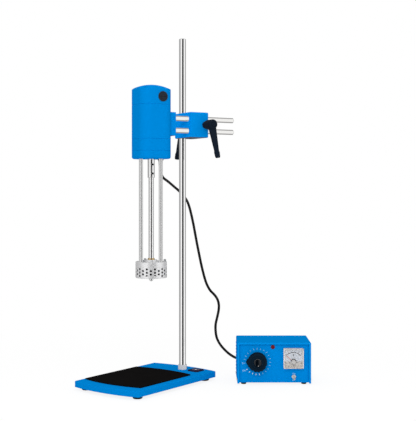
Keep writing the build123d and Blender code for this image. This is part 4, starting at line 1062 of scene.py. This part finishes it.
def addMeterSkirtShadow():
    # A painted shadow: a dark curve along the edge of the pale skirt at the foot of the card
    card, z, half = meterSet["cardFront"], meterSet["pivotHeight"], meterSet["skirtHalf"]
    centre = (meterSet["centreX"], card - meterSet["printRise"], z + meterSet["skirtRise"])
    skirt = arcBand(centre, meterSet["skirtRadius"], 270 - half, 2 * half, meterSet["skirtWidth"],
                    meterSet["thick"])
    dress(join([skirt], "meter_skirt_shadow"), "greyInk")


def addMeterScrews():
    x, z = meterSet["centreX"], meterSet["pivotHeight"]
    front, card = meterSet["windowFront"], meterSet["cardFront"]
    low = z - meterSet["adjusterDrop"]
    knob = boss((x, front, low), meterSet["adjusterRadius"], meterSet["adjusterHeight"],
                meterSet["adjusterEdge"])
    dress(join([knob], "meter_adjuster"), "greyInk")
    groove = slab(meterSet["slotSize"], (x, front - meterSet["slotRise"], low), meterSet["slotEdge"])
    dress(join([groove], "meter_adjuster_slot"), "scaleInk")
    screws = []
    for side in (-1, 1):
        centre = (x + side * meterSet["screwSide"], card, z - meterSet["screwDrop"])
        screws.append(boss(centre, meterSet["screwRadius"], meterSet["screwHeight"], meterSet["screwEdge"]))
    dress(join(screws, "meter_screws"), "darkScrew")


addMeterScale()
addMeterHub()
addMeterSkirtShadow()
addMeterScrews()
print("meter finished")


# The level's ring and bubble

levelSet = {"ringRadius": 0.0048, "ringWidth": 0.0006, "bubbleRadius": 0.0030, "thick": 0.0002}


def addLevel():
    low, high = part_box("level_vial")
    centre = ((low.x + high.x) / 2, (low.y + high.y) / 2, high.z)
    ring = levelRing(centre, levelSet["ringRadius"], levelSet["ringWidth"], levelSet["thick"])
    dress(join([ring], "level_ring"), "scaleInk")
    bubble = levelDome(centre, levelSet["bubbleRadius"], levelSet["thick"] * 2)
    dress(join([bubble], "level_bubble"), "bubble")


addLevel()
print("level finished")


# Floor, world and lamps

stageSet = {
    "floorSize": 14.0,
    "floorRough": 0.9,
    "shadowShare": 0.12,
    "shadowReach": 0.9,
    "ambient": 0.70,
    "bandMiddle": 0.24,
    "bandHalf": 0.42,
    "bandSoft": 0.12,
    "bandDark": 0.99,
    "rearStart": 1.15,
    "rearSoft": 0.35,
    "rearDark": 0.62,
}
lamps = [
    {"place": (-0.55, -2.3, 1.0), "target": (0, 0, 0.4), "size": 0.8, "power": 6.0},
    {"place": (0, -1.40, 1.25), "target": (0.14, 0, 0.1), "size": 0.30, "power": 5.8, "glints": True},
    {"place": (0.1, -0.3, 3.0), "target": (0, 0, 0.2), "size": 2.0, "power": 20.0},
]


def addFloor():
    clearSelection()
    bpy.ops.mesh.primitive_plane_add(size=stageSet["floorSize"])
    floor = bpy.context.object
    floor.name = "studio_floor"
    material = bpy.data.materials.new("paleFloor")
    material.use_nodes = True
    tree = material.node_tree
    shader = tree.nodes["Principled BSDF"]
    shader.inputs["Base Color"].default_value = (1, 1, 1, 1)
    shader.inputs["Roughness"].default_value = stageSet["floorRough"]
    shader.inputs["Specular IOR Level"].default_value = 0.0
    glow = tree.nodes.new("ShaderNodeEmission")
    glow.inputs["Strength"].default_value = 1.0
    rays = tree.nodes.new("ShaderNodeLightPath")
    seen = addMath(tree, "ADD", rays.outputs["Is Camera Ray"], rays.outputs["Is Glossy Ray"])
    seen = addMath(tree, "ADD", seen, rays.outputs["Is Transmission Ray"], clamp=True)
    away = tree.nodes.new("ShaderNodeVectorMath")
    away.operation = "LENGTH"
    tree.links.new(tree.nodes.new("ShaderNodeTexCoord").outputs["Object"], away.inputs[0])
    fade = addMath(tree, "SUBTRACT", stageSet["shadowReach"], away.outputs["Value"])
    fade = addMath(tree, "DIVIDE", fade, stageSet["shadowReach"] / 2, clamp=True)
    kept = addMath(tree, "MULTIPLY", fade, stageSet["shadowShare"])
    share = addMath(tree, "MULTIPLY", seen, addMath(tree, "SUBTRACT", 1.0, kept))
    mix = tree.nodes.new("ShaderNodeMixShader")
    tree.links.new(share, mix.inputs[0])
    tree.links.new(shader.outputs[0], mix.inputs[1])
    tree.links.new(glow.outputs[0], mix.inputs[2])
    tree.links.new(mix.outputs[0], tree.nodes["Material Output"].inputs["Surface"])
    floor.data.materials.append(material)
    floor.visible_glossy = False  # polished metal sees the room instead


def addWorld():
    # White all round, but polished metal sees a dark band in front and a grey room behind
    world = bpy.data.worlds.new("studio")
    scene.world = world
    world.use_nodes = True
    tree = world.node_tree
    ground = tree.nodes["Background"]
    ground.inputs["Color"].default_value = (1, 1, 1, 1)
    rays = tree.nodes.new("ShaderNodeLightPath")
    direct = addMath(tree, "ADD", rays.outputs["Is Camera Ray"], rays.outputs["Is Transmission Ray"],
                     clamp=True)
    way = tree.nodes.new("ShaderNodeTexCoord")
    split = tree.nodes.new("ShaderNodeSeparateXYZ")
    tree.links.new(way.outputs["Generated"], split.inputs[0])
    toFront = addMath(tree, "MULTIPLY", split.outputs["Y"], -1.0)
    turned = addMath(tree, "ARCTAN2", split.outputs["X"], toFront)
    aside = addMath(tree, "ABSOLUTE", addMath(tree, "SUBTRACT", turned, stageSet["bandMiddle"]))
    band = addMath(tree, "SUBTRACT", stageSet["bandHalf"] + stageSet["bandSoft"], aside)
    band = addMath(tree, "DIVIDE", band, stageSet["bandSoft"], clamp=True)
    rear = addMath(tree, "SUBTRACT", aside, stageSet["rearStart"])
    rear = addMath(tree, "DIVIDE", rear, stageSet["rearSoft"], clamp=True)
    dark = addMath(tree, "MULTIPLY", band, stageSet["bandDark"])
    dark = addMath(tree, "ADD", dark, addMath(tree, "MULTIPLY", rear, stageSet["rearDark"]))
    mirror = addMath(tree, "SUBTRACT", 1.0, dark, clamp=True)
    glossy = addMath(tree, "MULTIPLY", rays.outputs["Is Glossy Ray"], mirror)
    taken = addMath(tree, "ADD", direct, rays.outputs["Is Glossy Ray"])
    rest = addMath(tree, "SUBTRACT", 1.0, taken, clamp=True)
    rest = addMath(tree, "MULTIPLY", rest, stageSet["ambient"])
    total = addMath(tree, "ADD", addMath(tree, "ADD", direct, glossy), rest)
    tree.links.new(total, ground.inputs["Strength"])


def addLamp(lampSet):
    bpy.ops.object.light_add(type="AREA", location=lampSet["place"])
    lamp = bpy.context.object
    lamp.data.size = lampSet["size"]
    lamp.data.energy = lampSet["power"]
    lamp.visible_glossy = lampSet.get("glints", False)
    lamp.visible_camera = False
    aim = Vector(lampSet["target"]) - Vector(lampSet["place"])
    lamp.rotation_euler = aim.to_track_quat("-Z", "Y").to_euler()


addFloor()
addWorld()
for lampSet in lamps:
    addLamp(lampSet)
print("studio lit")
